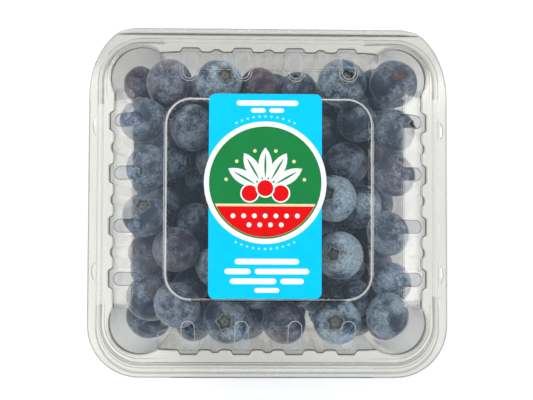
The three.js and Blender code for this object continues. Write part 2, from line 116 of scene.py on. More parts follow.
PLATEAU_FOOT = {"x": 35.6, "y": 34.7, "radius": 9.3}
PLATEAU_TOP = {"x": 34.1, "y": 33.2, "radius": 8}
PLATEAU_BANDS = (0.2, 0.62)  # where the lines on its slope end, as shares from its top
ROOF_NECK = {"x": 44.2, "y": 42.5, "radius": 2}
RECESS_EDGE = {"x": 36.8, "y": 35.9, "radius": 9.5}
RECESS_ROOF = {"x": 35.4, "y": 34.5, "radius": 8.1}
MIDDLE = {"x": 20, "y": 20, "radius": 4}  # the first ring round a skin's middle
RECESS_Z = 3.9
HEEL = 3
FLOOR_CORNER = 6.5

SLOT_LENGTH = 10.1
SLOT_WIDTH = 4.5
SLOT_HALF = SLOT_LENGTH / 2 - SLOT_WIDTH / 2  # to the middle of its round end
SLOT_INSET = 0.2
SLOT_END_STEPS = 12
CHANNEL_MARGIN = 0.9
CHANNEL_THICKNESS = 0.11
LIP_RADIUS = 0.17
BRIGHT_LIP_RADIUS = 0.13
LIP_SIDES = 8
LIP_SINK = 0.06
LIP_TIP = 0.1  # how thick an open lip's ends are, to its middle

# The snap buttons on the flange: x, y, and half their length along the side.
SNAPS = [(-59.6, 25.2, 3.3), (-59.6, -24.8, 3.3), (59.6, 24.2, 3.3), (59.6, -25.5, 3.3)]
SNAP_HEIGHT = 0.3
SNAP_HALF_WIDTH = 0.75
SNAP_BOW = 0.5
SNAP_SWING = 38  # degrees to each side of the middle of its arc
SNAP_REACH = 0.9
SNAP_STEPS = 14
RIDGE_RADIUS = 12.3
RIDGE_THICKNESS = 0.2
RIDGE_STEPS = 24

MOST_ROUNDED = 0.45  # the share of a flat that the round of a bend may take
SHARP_FROM = 38  # degrees
SKIN_MERGE = 2e-6  # m, how near to each other points are made one
LABEL_MERGE = 1e-6
FINE_MERGE = 1e-7

# ---- Painted light on each band of the sheet: darker, greyer and milky tints stand in for the light that gathers or fails where it bends tightly ----
CLEAR, PAINTED_GREY, PAINTED_DARK, PAINTED_BRIGHT, STEEP, PAINTED_BAND, PAINTED_LINE, POST, PAINTED_HAZE, ROOFING, STRIP = range(11)
# Four painted tones stand for the left and right, the corners, the front and the back, as the light falls
# differently on each.
BEAD_FOOT = (PAINTED_BRIGHT, PAINTED_DARK, PAINTED_DARK, CLEAR)
BEAD_FOOT_EDGE = (PAINTED_BRIGHT, PAINTED_GREY, PAINTED_GREY, CLEAR)
BEAD_SIDE = (CLEAR, PAINTED_BAND, PAINTED_BAND, CLEAR)
BEAD_TOP = (CLEAR, CLEAR, PAINTED_HAZE, CLEAR)
OUTER_FOOT = (PAINTED_BRIGHT, PAINTED_BRIGHT, CLEAR, PAINTED_GREY)
OUTER_FOOT_EDGE = (PAINTED_GREY, PAINTED_GREY, PAINTED_HAZE, PAINTED_GREY)
FLANGE_EDGE = (PAINTED_GREY, PAINTED_GREY, PAINTED_DARK, PAINTED_GREY)
LID_WALL = (STEEP, POST, STEEP, STEEP)
POST_LINE = (CLEAR, PAINTED_LINE, CLEAR, CLEAR)
ROOF_FLAT = (STRIP, ROOFING, ROOFING, ROOFING)
ROOF_EDGE = (PAINTED_GREY, CLEAR, PAINTED_GREY, PAINTED_GREY)
ROOF_CORNER = (CLEAR, PAINTED_HAZE, CLEAR, CLEAR)
WALL_TOP = (PAINTED_BRIGHT, PAINTED_GREY, PAINTED_GREY, PAINTED_GREY)
PLATEAU_EDGE = (CLEAR, CLEAR, PAINTED_DARK, CLEAR)
PLATEAU_UPPER = (PAINTED_BRIGHT, PAINTED_BRIGHT, PAINTED_HAZE, PAINTED_BRIGHT)
PLATEAU_LOWER = (PAINTED_HAZE, PAINTED_HAZE, PAINTED_DARK, CLEAR)
PLATEAU_HEEL = (PAINTED_BRIGHT, PAINTED_GREY, CLEAR, CLEAR)
CORNER_FROM = 34.5  # where the corners start, along both axes
PLATEAU_REACH = 40
PLATEAU_CORNER_FROM = 26

# Each bend's radius, and the painted tones of the flat before it and of the four bands that round it.
PLAIN = (CLEAR, CLEAR, CLEAR, CLEAR, CLEAR)
FLANGE_RADII = (0.35, 0.3, 0, 0, 0.3, 0.35, 0, 0, 0, 0, 0, 0, 0, 0.12)
FLANGE_PAINTED_TONES = (
    (CLEAR, CLEAR, BEAD_FOOT, BEAD_FOOT_EDGE, CLEAR),
    (BEAD_SIDE, *PLAIN[1:]), (BEAD_SIDE,), (BEAD_TOP,), (BEAD_SIDE, *PLAIN[1:]),
    (BEAD_SIDE, CLEAR, OUTER_FOOT, OUTER_FOOT_EDGE, CLEAR),
    *([PLAIN] * 7), (CLEAR, CLEAR, PAINTED_DARK, PAINTED_DARK, CLEAR),
)
LID_RADII = (0.3, 0, 0, 0.3, 0, 0.7, 0.5, *FLANGE_RADII)
LID_PAINTED_TONES = (
    (ROOFING, PLATEAU_EDGE, PLATEAU_EDGE, PLATEAU_EDGE, CLEAR), (CLEAR,), (PLATEAU_UPPER,),
    (PLATEAU_LOWER, PLATEAU_HEEL, PLATEAU_HEEL, CLEAR, CLEAR), (ROOF_FLAT,),
    (ROOF_FLAT, ROOF_EDGE, ROOF_CORNER, ROOF_EDGE, CLEAR),
    (LID_WALL, CLEAR, WALL_TOP, PAINTED_GREY, CLEAR), *FLANGE_PAINTED_TONES,
)
TRAY_RADII = (1.0, 1.0, 1.5, 1.5, 0.9, *FLANGE_RADII)
TRAY_PAINTED_TONES = (PLAIN, PLAIN, PLAIN, PLAIN, (CLEAR, POST_LINE, PAINTED_LINE, PAINTED_LINE, PAINTED_BRIGHT), *FLANGE_PAINTED_TONES)

# The hinge across its width: share of the width, height over the flange, and painted tone.
HINGE_SECTION = [
    (0.06, 0.05, PAINTED_DARK), (0.16, 0.3, PAINTED_DARK), (0.28, 0.7, PAINTED_GREY), (0.42, 1.05, CLEAR), (0.54, 1.17, CLEAR),
    (0.66, 1.12, CLEAR), (0.78, 0.92, CLEAR), (0.88, 0.6, CLEAR), (0.95, 0.3, PAINTED_GREY), (1.0, 0.08, PAINTED_GREY),
]


# ---- Outlines of the clamshell ----
def beside_side(side, along, out):
    """A place in plan, given along one side and outward. The sides are the front, right, back and left."""
    return ((along, -out), (out, along), (-along, out), (-out, -along))[side]


def side_reach(reach, side):
    return reach[("front", "x", "back", "x")[side]]


def arc_points(x, y, radius, start, end, steps):
    turns = [mix(start, end, step / steps) for step in range(steps + 1)]
    return [(x + radius * math.cos(turn), y + radius * math.sin(turn)) for turn in turns]


def rib(along, flute, bump):
    """How far a side wall stands out at one place along it."""
    out = 0.0
    ribs = ((FLUTES, flute, FLUTE_FOOT, FLUTE_FACE), (BUMPS, bump, BUMP_FOOT, BUMP_FACE))
    for middles, high, foot, face in ribs:
        for middle in middles:
            away = abs(along - middle * PITCH)
            out = max(out, high * smooth((foot - away) / (foot - face)))
    return out


def side_stations():
    places = {0.0, *END_STATIONS}
    for middles, steps in ((FLUTES, FLUTE_STEPS), (BUMPS, BUMP_STEPS)):
        for middle in middles:
            places.update(middle * PITCH + sign * step for sign in (-1, 1) for step in steps)
    return sorted(round(place, 6) for place in places)


STATIONS = side_stations()


def corner_arc(side, arc):
    sign_x = 1 if side in (0, 1) else -1
    sign_y = 1 if side in (1, 2) else -1
    points = []
    for step in range(ARC_STEPS):
        turn = math.radians(mix(-arc["wrap_x"], 90 + arc["wrap_y"], step / (ARC_STEPS - 1)))
        x = arc["cx"] + arc["rx"] * math.cos(turn)
        y = arc["cy"] + arc["ry"] * math.sin(turn)
        points.append((sign_x * x, sign_y * y))
    return points if side % 2 else points[::-1]


def between(start, end, first=False):
    """Points on the step beside a corner post, without its end on the arc."""
    shares = [step / STEP_STEPS for step in range(1, STEP_STEPS + 1)]
    if first:
        shares = [share - 1 / STEP_STEPS for share in shares]
    return [(mix(start[0], end[0], share), mix(start[1], end[1], share)) for share in shares]


def outline(z, reach, front_corner, back_corner, inset=0.0):
    """One closed outline, counterclockwise from the front left corner."""
    arcs = []
    for side in range(4):
        arc = front_corner if side in (0, 3) else back_corner
        arcs.append(corner_arc(side, {**arc, "rx": arc["rx"] - inset, "ry": arc["ry"] - inset}))
    points = []
    for side in range(4):
        out = side_reach(reach, side) - inset
        axis = side % 2
        before = arcs[(side + 3) % 4]
        start = abs(before[-1][axis]) - POST_LEAN
        end = abs(arcs[side][0][axis]) - POST_LEAN
        squeeze = min(1.0, (end - POST_LEAN) / (FLUTES[-1] * PITCH + FLUTE_FOOT + END_ROOM))
        step_in, step_out = beside_side(side, -start, out), beside_side(side, end, out)
        points.extend(before)
        points.extend(between(before[-1], step_in))
        for along in STATIONS:
            raised = rib(along, reach.get("flute", 0), reach.get("bump", 0))
            points.append(beside_side(side, along * squeeze, out + raised))
        points.extend(between(step_out, arcs[side][0], first=True))
    ring = np.array([(x, y, z) for x, y in points], float)
    for _ in range(2):
        ring = 0.5 * ring + 0.25 * (np.roll(ring, 1, axis=0) + np.roll(ring, -1, axis=0))
    return ring


def rounded_outline(z, size, inset=0.0):
    x, y, radius = size["x"], size["y"], size["radius"]
    square = corner(x - radius, y - radius, radius)
    return outline(z, sides(x, y), square, square, inset)


def soften(rings, radii, finishes, steps=4):
    """The same rings with each bend between them rounded off, and the painted tone of every band between
    them.
    """
    out, bands = [rings[0]], []
    for before, bend, after, radius, finish in zip(rings, rings[1:], rings[2:], radii, finishes):
        bands.append(finish[0])
        if not radius:
            out.append(bend)
            continue
        ends = []
        for way in (before - bend, after - bend):
            length = np.linalg.norm(way, axis=1, keepdims=True) + 1e-9
            ends.append(bend + way / length * np.minimum(radius, MOST_ROUNDED * length))
        for step in range(steps + 1):
            t = step / steps
            out.append((1 - t) ** 2 * ends[0] + 2 * t * (1 - t) * bend + t * t * ends[1])
        bands.extend(finish[1:])
    return [*out, rings[-1]], [*bands, FLANGE_EDGE]


def bead_outline(z, share):
    """One line of the snap bead: its share of the way from the bead's inner edge to its outer edge."""
    keys = ("x", "front", "back", "radius")
    x, front, back, radius = (mix(BEAD_INNER[key], BEAD_OUTER[key], share) for key in keys)
    front_corner, back_corner = (corner(x - radius, end - radius, radius) for end in (front, back))
    return outline(z, sides(x, front, back), front_corner, back_corner)


def flange_rings(z):
    """The flange from its inner edge to its outer edge, over the snap bead."""
    foot = bead_outline(z, 1)
    edge = outline(z, FLANGE, FRONT_CORNER, BACK_CORNER, EDGE_LIP)
    rim = outline(z - EDGE_DROP, FLANGE, FRONT_CORNER, BACK_CORNER)
    crests = [bead_outline(z + BEAD_HEIGHT, share) for share in (BEAD_SLOPE, *BEAD_BANDS, 1 - BEAD_SLOPE)]
    level = [mix(foot, edge, share) for share in FLANGE_SHARES]
    return [bead_outline(z, 0), *crests, foot, *level, edge, rim]


def raise_snaps(ring):
    """Low crescent buttons pressed into the flange."""
    ring = ring.copy()
    for x, y, half in SNAPS:
        along = (ring[:, 1] - y) / half
        across = (np.abs(ring[:, 0]) - abs(x) + SNAP_BOW * along ** 2) / SNAP_HALF_WIDTH
        share = np.clip(1 - along ** 2, 0, 1) * np.clip(1 - across ** 2, 0, 1)
        share[ring[:, 0] * x < 0] = 0
        ring[:, 2] += SNAP_HEIGHT * share
    return ring


def hinge_rings(edge, towards):
    """The creased roll that runs along the back of a flange, outward from its edge, and its painted tones."""
    rings = []
    on_back = edge[:, 1] > FLANGE["back"] - 0.05
    ends = np.array([smooth((HINGE_HALF_LENGTH - abs(x)) / HINGE_TAPER) for x in edge[:, 0]]) * on_back
    for share, height, _ in HINGE_SECTION:
        ring = edge.copy()
        ring[:, 1] += share * HINGE_WIDTH * np.sqrt(ends)
        ring[:, 2] += (height if towards > 0 else EDGE_DROP - height) * ends
        rings.append(ring)
    return rings, [finish for _, _, finish in HINGE_SECTION]


def face_painted_tone(face, points, finish):
    """A face's painted tone as one number, also where its band has four of them."""
    if isinstance(finish, int):
        return finish
    x, y, _ = points[face[0]]
    start = CORNER_FROM if max(abs(x), abs(y)) > PLATEAU_REACH else PLATEAU_CORNER_FROM
    if abs(y) < start:
        return finish[0]
    if abs(x) > start:
        return finish[1]
    return finish[2 if y < 0 else 3]


# ---- Pieces ----
def add_object(name, data):
    added = bpy.data.objects.new(name, data)
    bpy.context.scene.collection.objects.link(added)
    return added


def stand_in(piece, node, body):
    """The piece stands for a node, which is hidden, and rides on a body."""
    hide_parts(node)
    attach(piece, body)


def make_piece(name, points, faces, materials, merge=None, sharp_from=SHARP_FROM, finishes=None):
    """A mesh object from points in mm."""
    mesh = bpy.data.meshes.new(name)
    mesh.from_pydata([(x * MM, (y + SHIFT_Y) * MM, z * MM) for x, y, z in points], [], faces)
    if finishes:
        numbers = [face_painted_tone(face, points, finish) for face, finish in zip(faces, finishes)]
        mesh.polygons.foreach_set("material_index", numbers)
    if merge:
        work = bmesh.new()
        work.from_mesh(mesh)
        bmesh.ops.remove_doubles(work, verts=work.verts, dist=merge)
        bmesh.ops.dissolve_degenerate(work, dist=merge, edges=work.edges)
        bmesh.ops.recalc_face_normals(work, faces=work.faces)
        work.to_mesh(mesh)
        work.free()
    for material in materials:
        mesh.materials.append(material)
    mesh.shade_smooth()
    mesh.set_sharp_from_angle(angle=math.radians(sharp_from))
    return add_object(name, mesh)


def skin_mesh(name, upper, lower, materials):
    """A closed sheet between two skins, each given as rings from its middle out and their bands' painted
    tones.

    Apart from its wall the lower skin stays clear, so that each painted line is drawn once.
    """
    rings = [*upper[0], *lower[0][::-1]]
    bands = [*upper[1], PAINTED_DARK, *(band if band == LID_WALL else CLEAR for band in reversed(lower[1]))]
    count = len(rings[0])
    points = [(0, 0, rings[0][0][2])]
    for ring in rings:
        points.extend(map(tuple, ring))
    points.append((0, 0, rings[-1][0][2]))
    faces, finishes = [], []
    last = len(points) - 1
    for k in range(count):
        after = (k + 1) % count
        faces.append((0, 1 + k, 1 + after))
        for band in range(len(rings) - 1):
            near, far = 1 + band * count, 1 + (band + 1) * count
            faces.append((near + k, far + k, far + after, near + after))
        end = 1 + (len(rings) - 1) * count
        faces.append((end + after, end + k, last))
        finishes.extend([ROOFING, *bands, CLEAR])
    return make_piece(name, points, faces, materials, merge=SKIN_MERGE, finishes=finishes)


def ring_walls(first, count):
    """The faces between two outlines whose points follow each other from the given one."""
    for k in range(count):
        after = (k + 1) % count
        yield (first + k, first + after, first + count + after, first + count + k)


# ---- Materials ----
class Looks:
    """The nodes of a material or world. A node's input is a number, a colour or another node's output."""

    def __init__(self, owner):
        self.owner = owner
        owner.use_nodes = True
        self.tree = owner.node_tree
        self.tree.nodes.clear()
        self.place = self.node("TexCoord").outputs

    def node(self, kind, inputs=None, **settings):
        node = self.tree.nodes.new("ShaderNode" + kind)
        for name, value in settings.items():
            setattr(node, name, value)
        for socket, value in (inputs or {}).items():
            if isinstance(value, bpy.types.NodeSocket):
                self.tree.links.new(value, node.inputs[socket])
            else:
                node.inputs[socket].default_value = (*value, 1) if isinstance(value, tuple) else value
        return node

    def texture(self, scale, detail=3, roughness=0.55):
        inputs = {"Vector": self.place["Object"], "Scale": scale, "Detail": detail, "Roughness": roughness}
        return self.node("TexNoise", inputs).outputs["Fac"]

    def math(self, operation, first, second):
        return self.node("Math", {0: first, 1: second}, operation=operation).outputs[0]

    def scale(self, colour, factor):
        return self.node("VectorMath", {0: colour, "Scale": factor}, operation="SCALE").outputs[0]

    def total(self, *terms):
        """The sum of the given values, each times its weight."""
        scaled = [self.math("MULTIPLY", value, weight) for value, weight in terms]
        total = scaled[0]
        for term in scaled[1:]:
            total = self.math("ADD", total, term)
        return total

    def ramp(self, source, stops):
        """Colours, or greys given as one number, at places from 0 to 1."""
        node = self.node("ValToRGB", {0: source})
        elements = node.color_ramp.elements
        while len(elements) < len(stops):
            elements.new(0.5)
        for element, (place, colour) in zip(elements, stops):
            element.position = place
            element.color = (*(colour if isinstance(colour, tuple) else (colour,) * 3), 1)
        return node.outputs["Color"]

    def mix(self, factor, first, second):
        return self.node("Mix", {0: factor, 6: first, 7: second}, data_type="RGBA").outputs[2]

    def blend(self, factor, first, second):
        return self.node("MixShader", {0: factor, 1: first, 2: second}).outputs[0]

    def bump(self, height, strength, distance):
        return self.node("Bump", {"Strength": strength, "Distance": distance, "Height": height}).outputs[0]

    def channels(self, attribute):
        colour = self.node("Attribute", attribute_name=attribute).outputs["Color"]
        return self.node("SeparateColor", {0: colour}).outputs

    def finish(self, shader, output="OutputMaterial"):
        self.node(output, {"Surface": shader})
        return self.owner


def new_material(name):
    return Looks(bpy.data.materials.new(name))


# Painted shade on the tray's sheet: where along y it starts and is full, and how much light the sheet then
# lets through.
PAINTED_SHADE_BANDS = ((-49.5, -55.0, 0.965), (42.0, 50.0, 0.845))
WARMTH = 0.028  # how much less blue than green goes through
WARMTH_LOSS = 0.45  # of it, where the sheet is seen edge on
WOBBLE = 0.00006  # m
FACED_GLOSS = 0.033  # how much the sheet mirrors where it is faced, and what edge on adds
EDGE_GLOSS = 0.75


def clear_plastic(name, shades, roughness=0.05, gloss=1.0, frost=0.0, front_back_shade=False, veil=0.0):
    """Thin clear sheet: see-through, darker where it is seen edge on, with a soft gloss.

    Shades are how much light one skin lets through, from facing (0) to edge on (1).
    """
    looks = new_material(name)
    bump = looks.bump(looks.total((looks.texture(60, 1), 1), (looks.texture(700, 2), 0.05)), 0.5, WOBBLE)
    facing = looks.node("LayerWeight", {"Blend": 0.5, "Normal": bump}).outputs["Facing"]
    stops = []
    for at, shade in shades:
        warm = WARMTH * (1 - WARMTH_LOSS * at)
        stops.append((at, (shade * (1 + warm * 0.1), shade * (1 - warm * 0.15), shade * (1 - warm))))
    tint = looks.ramp(facing, stops)
    if front_back_shade:
        # Painted shade: the sheet lets less light through towards the front and back.
        along = looks.node("SeparateXYZ", {0: looks.place["Object"]}).outputs["Y"]
        for start, end, low in PAINTED_SHADE_BANDS:
            limits = {"From Min": start * MM, "From Max": end * MM, "To Min": 1, "To Max": low}
            tint = looks.scale(tint, looks.node("MapRange", {**limits, "Value": along}).outputs[0])
    through = looks.node("BsdfTransparent", {"Color": tint}).outputs[0]
    smear = {"Value": looks.texture(200), "To Min": roughness * 0.6, "To Max": roughness * 1.8}
    rough = looks.node("MapRange", smear).outputs[0]
    glossy = looks.node("BsdfGlossy", {"Color": (1, 1, 1), "Roughness": rough, "Normal": bump}).outputs[0]
    mirrored = looks.math("MULTIPLY", looks.math("POWER", facing, 5.0), EDGE_GLOSS * gloss)
    shader = looks.blend(looks.math("ADD", mirrored, FACED_GLOSS * gloss + veil), through, glossy)
    if frost:
        # Painted highlight: a milky white mix, partly the whitening of cut or tightly bent plastic, mostly
        # standing in for the light that gathers there.
        milky = looks.node("BsdfDiffuse", {"Color": (0.9, 0.91, 0.9)}).outputs[0]
        shader = looks.blend(frost, shader, milky)
    return looks.finish(shader)


def printed_paper(name, colour):
    """Coated label paper with a flat printed colour and a faint fibre."""
    looks = new_material(name)
    mottle = looks.total((looks.texture(1800, 3, 0.6), 0.5), (looks.texture(220, 2), 0.5))
    darker = tuple(channel * 0.93 for channel in colour)
    lighter = tuple(min(1.0, channel * 1.04 + 0.003) for channel in colour)
    return looks.finish(looks.node("BsdfPrincipled", {
        "Base Color": looks.ramp(mottle, [(0.3, darker), (0.7, lighter)]), "Roughness": 0.42,
        "Specular IOR Level": 0.12, "Normal": looks.bump(mottle, 0.25, 0.00004),
    }).outputs[0])


def berry_skin(name, skin, bloom, cover):
    """Dark skin under a pale waxy bloom that is rubbed off in patches; marks and tints come from the mesh."""
    looks = new_material(name)
    calyx, pit, tone = looks.channels("marks")
    plum, scar, rubbed = looks.channels("tints")
    mottle = looks.texture(430, 5, 0.68)
    speckle = looks.texture(1500, 3, 0.7)
    covered = looks.total(
        (looks.texture(150, 3, 0.5), 0.27), (mottle, 0.45), (speckle, 0.28), (tone, 0.12), (rubbed, -0.26))
    edges = ((-0.09, 0), (-0.036, 0.26), (0.012, 0.68), (0.065, 1))
    mask = looks.ramp(covered, [(cover + shift, shade) for shift, shade in edges])
    plum = looks.math("MULTIPLY", plum, looks.ramp(looks.texture(95, 1), [(0.4, 0.25), (0.62, 1)]))
    reddish = looks.mix(plum, skin, (0.06, 0.025, 0.045))
    reddish_bloom = looks.mix(plum, bloom, (0.21, 0.175, 0.225))
    thickness = looks.ramp(looks.texture(1100, 4, 0.75), [
        (0.36, (0.6, 0.62, 0.65)), (0.52, (0.98, 0.99, 1.0)), (0.66, (1.5, 1.45, 1.38)),
    ])
    waxy = looks.node("VectorMath", {0: reddish_bloom, 1: thickness}, operation="MULTIPLY").outputs[0]
    waxy = looks.scale(waxy, looks.math("ADD", looks.math("MULTIPLY", tone, 0.5), 0.74))
    colour = looks.mix(mask, reddish, waxy)
    for part, stops in (
        (calyx, [(0.3, (0.125, 0.135, 0.133)), (0.5, (0.22, 0.238, 0.232)), (0.7, (0.36, 0.385, 0.375))]),
        # The pit's near-black is partly the crown's and stem end's own dry tissue and partly painted shade in
        # their hollows.
        (pit, [(0.3, (0.014, 0.011, 0.012)), (0.65, (0.06, 0.048, 0.042))]),
        (scar, [(0.35, (0.07, 0.04, 0.035)), (0.65, (0.2, 0.125, 0.09))]),
    ):
        colour = looks.mix(part, colour, looks.ramp(mottle, stops))
    return looks.finish(looks.node("BsdfPrincipled", {
        "Base Color": colour, "Roughness": looks.math("ADD", looks.math("MULTIPLY", mask, 0.34), 0.36),
        "Specular IOR Level": 0.4,
        "Sheen Weight": 0.6, "Sheen Roughness": 0.26, "Sheen Tint": (0.78, 0.87, 1.0),
        "Normal": looks.bump(looks.total((mottle, 0.7), (speckle, 0.3)), 0.35, 0.00035),
    }).outputs[0])


SHEET_SHADES = [(0.0, 0.957), (0.3, 0.952), (0.5, 0.9), (0.75, 0.87), (0.9, 0.68), (1.0, 0.38)]
TRAY_SHADES = [(0.0, 0.953), (0.3, 0.947), (0.5, 0.89), (0.75, 0.85), (0.9, 0.72), (1.0, 0.46)]
STEEP_SHADES = [(0.0, 0.957), (0.3, 0.955), (0.5, 0.95), (0.75, 0.93), (0.9, 0.87), (1.0, 0.62)]
BRIGHT_SHADES = [(0.0, 0.93), (0.5, 0.85), (1.0, 0.6)]
LIP_SHADES = [(0.0, 0.8), (0.5, 0.72), (0.8, 0.5), (1.0, 0.35)]
# In the order of the painted tones' numbers.
# The grey, dark, bright, bead side, line and hazy bends are painted light: darker tints for dark lines, milky
# white for highlights.
lid_plastic = [
    clear_plastic("clear_sheet", SHEET_SHADES),
    clear_plastic("painted_grey_bend", [(0.0, 0.8), (0.5, 0.76), (1.0, 0.5)], gloss=0.5),
    clear_plastic("painted_dark_bend", [(0.0, 0.33), (0.5, 0.3), (1.0, 0.25)], gloss=0.3),
    clear_plastic("painted_highlight_bend", BRIGHT_SHADES, roughness=0.2, gloss=0.3, frost=0.65),
    clear_plastic("steep_sheet", STEEP_SHADES),
    clear_plastic("painted_grey_bead_side", [(0.0, 0.75), (0.5, 0.72), (1.0, 0.4)]),
    clear_plastic("painted_dark_line", [(0.0, 0.22), (1.0, 0.18)], gloss=0.3),
    clear_plastic("post_wall", [(0.0, 0.957), (0.5, 0.94), (1.0, 0.86)], gloss=0.4),
    clear_plastic("painted_haze_bend", BRIGHT_SHADES, roughness=0.2, gloss=0.3, frost=0.22),
    clear_plastic("roof_sheet", SHEET_SHADES, veil=0.04),
    clear_plastic("roof_strip", SHEET_SHADES, veil=0.12),
]
tray_plastic = [clear_plastic("tray_sheet", TRAY_SHADES, front_back_shade=True), *lid_plastic[1:]]
# Painted light on the lips and the vents' cut faces: a dark tint for cut edges and ridges, milky white
# highlights for the front and back vents and the channels.
cut_edges = [
    clear_plastic("cut_edge", LIP_SHADES, roughness=0.15, gloss=0.8),
    clear_plastic("painted_highlight_edge", BRIGHT_SHADES, roughness=0.15, frost=0.35),
]


# ---- Clamshell ----
def whole_skin(rings, radii, finishes, towards):
    """One skin's rings and painted tones, with its bends rounded, its snaps raised and the hinge at its edge.
    """
    rings, bands = soften(rings, radii, finishes)
    hinge, hinge_bands = hinge_rings(rings[-1], towards)
    return [raise_snaps(ring) for ring in rings] + hinge, bands + hinge_bands


def lid_skin(drop):
    top = rounded_outline(PLATEAU_Z - drop, PLATEAU_TOP, drop)
    foot = rounded_outline(ROOF_Z - drop, PLATEAU_FOOT, drop)
    return whole_skin([
        rounded_outline(PLATEAU_Z - drop, MIDDLE),
        top,
        *(mix(top, foot, share) for share in PLATEAU_BANDS),
        foot,
        rounded_outline(ROOF_Z - drop, ROOF_NECK, drop),
        outline(ROOF_Z - drop, ROOF, POST_ROOF, POST_ROOF, drop),
        outline(LID_RIM_Z - drop, LID_FOOT, POST_RIM, POST_RIM, drop),
        *flange_rings(LID_RIM_Z - drop),
    ], LID_RADII, LID_PAINTED_TONES, 1)


def tray_skin(lift):
    floor = {"x": BASE["x"] - HEEL, "y": BASE["front"] - HEEL, "radius": FLOOR_CORNER}
    rim = TRAY_RIM_Z - WALL + lift
    return whole_skin([
        rounded_outline(RECESS_Z - WALL + lift, MIDDLE),
        rounded_outline(RECESS_Z - WALL + lift, RECESS_ROOF, -lift),
        rounded_outline(lift, RECESS_EDGE, -lift),
        rounded_outline(lift, floor, lift),
        outline(HEEL, BASE, POST_BASE, POST_BASE, lift),
        outline(rim, RIM, POST_RIM, POST_RIM, lift),
        *flange_rings(rim),
    ], TRAY_RADII, TRAY_PAINTED_TONES, -1)


def vent_line(side, flute, shape):
    """A line round the middle of one vent, in plan, from its places along the side and out."""
    reach = side_reach(LID_FOOT, side) - SLOT_INSET - SLOT_LENGTH / 2
    return [beside_side(side, flute * PITCH - along, reach - out) for along, out in shape]


def slot_outline(side, flute):
    """The outline of one vent, counterclockwise, in plan."""
    near = arc_points(0, -SLOT_HALF, SLOT_WIDTH / 2, math.pi, 2 * math.pi, SLOT_END_STEPS)
    return vent_line(side, flute, near + arc_points(0, SLOT_HALF, SLOT_WIDTH / 2, 0, math.pi, SLOT_END_STEPS))


def slot_cutters():
    """The stadium-shaped prisms that cut the vents, as one mesh."""
    points, faces = [], []
    for side in range(4):
        for flute in FLUTES:
            profile = slot_outline(side, flute)
            first, count = len(points), len(profile)
            for z in (TRAY_RIM_Z, PLATEAU_Z):
                points.extend((x, y, z) for x, y in profile)
            faces.append(tuple(range(first, first + count))[::-1])
            faces.append(tuple(range(first + count, first + 2 * count)))
            faces.extend(ring_walls(first, count))
    return make_piece("slot_cutters", points, faces, cut_edges, merge=FINE_MERGE)


def snap_arcs():
    """The ridge of every snap button: a shallow arc, in plan."""
    swing = math.radians(SNAP_SWING)
    turns = [mix(-swing, swing, step / SNAP_STEPS) for step in range(SNAP_STEPS + 1)]
    for x, y, half in SNAPS:
        side = math.copysign(1, x)
        radius = half / math.sin(swing)
        yield [
            (x + side * (radius * (math.cos(turn) - 1) + SNAP_REACH), y + radius * math.sin(turn))
            for turn in turns
        ]


def corner_ridges():
    """The fine ridge round every corner post, in plan."""
    cx, cy = POST_RIM["cx"], POST_RIM["cy"]
    quarter = arc_points(cx, cy, RIDGE_RADIUS, 0, math.pi / 2, RIDGE_STEPS)
    path = [(quarter[0][0], mix(CORNER_FROM, cy, step / 3)) for step in range(3)] + quarter
    path += [(mix(cx, CORNER_FROM, step / 3), quarter[-1][1]) for step in (1, 2, 3)]
    for side_x in (-1, 1):
        for side_y in (-1, 1):
            yield [(side_x * x, side_y * y) for x, y in path]


def channel_lines():
    """The edge of the shallow channel round every vent at the back, in plan."""
    radius = SLOT_WIDTH / 2 + CHANNEL_MARGIN
    shape = [(-radius, mix(-SLOT_HALF, SLOT_HALF, step / 4)) for step in range(4)]
    shape += arc_points(0, SLOT_HALF, radius, math.pi, 0, SLOT_END_STEPS)
    shape += [(radius, mix(SLOT_HALF, -SLOT_HALF, step / 4)) for step in (1, 2, 3, 4)]
    for flute in FLUTES:
        yield vent_line(2, flute, shape)


def lip_paths():
    """Each lip's line in plan, whether it closes, its radius, and its material's place in cut_edges."""
    for side in range(4):
        for flute in FLUTES:
            # Front and back vents get the painted highlight, left and right ones the painted dark edge.
            yield slot_outline(side, flute), True, LIP_RADIUS if side % 2 else BRIGHT_LIP_RADIUS, 1 - side % 2
    for lines, radius, look in (
        (snap_arcs(), LIP_RADIUS, 0), (corner_ridges(), RIDGE_THICKNESS, 0),
        (channel_lines(), CHANNEL_THICKNESS, 1),
    ):
        for line in lines:
            yield line, False, radius, look


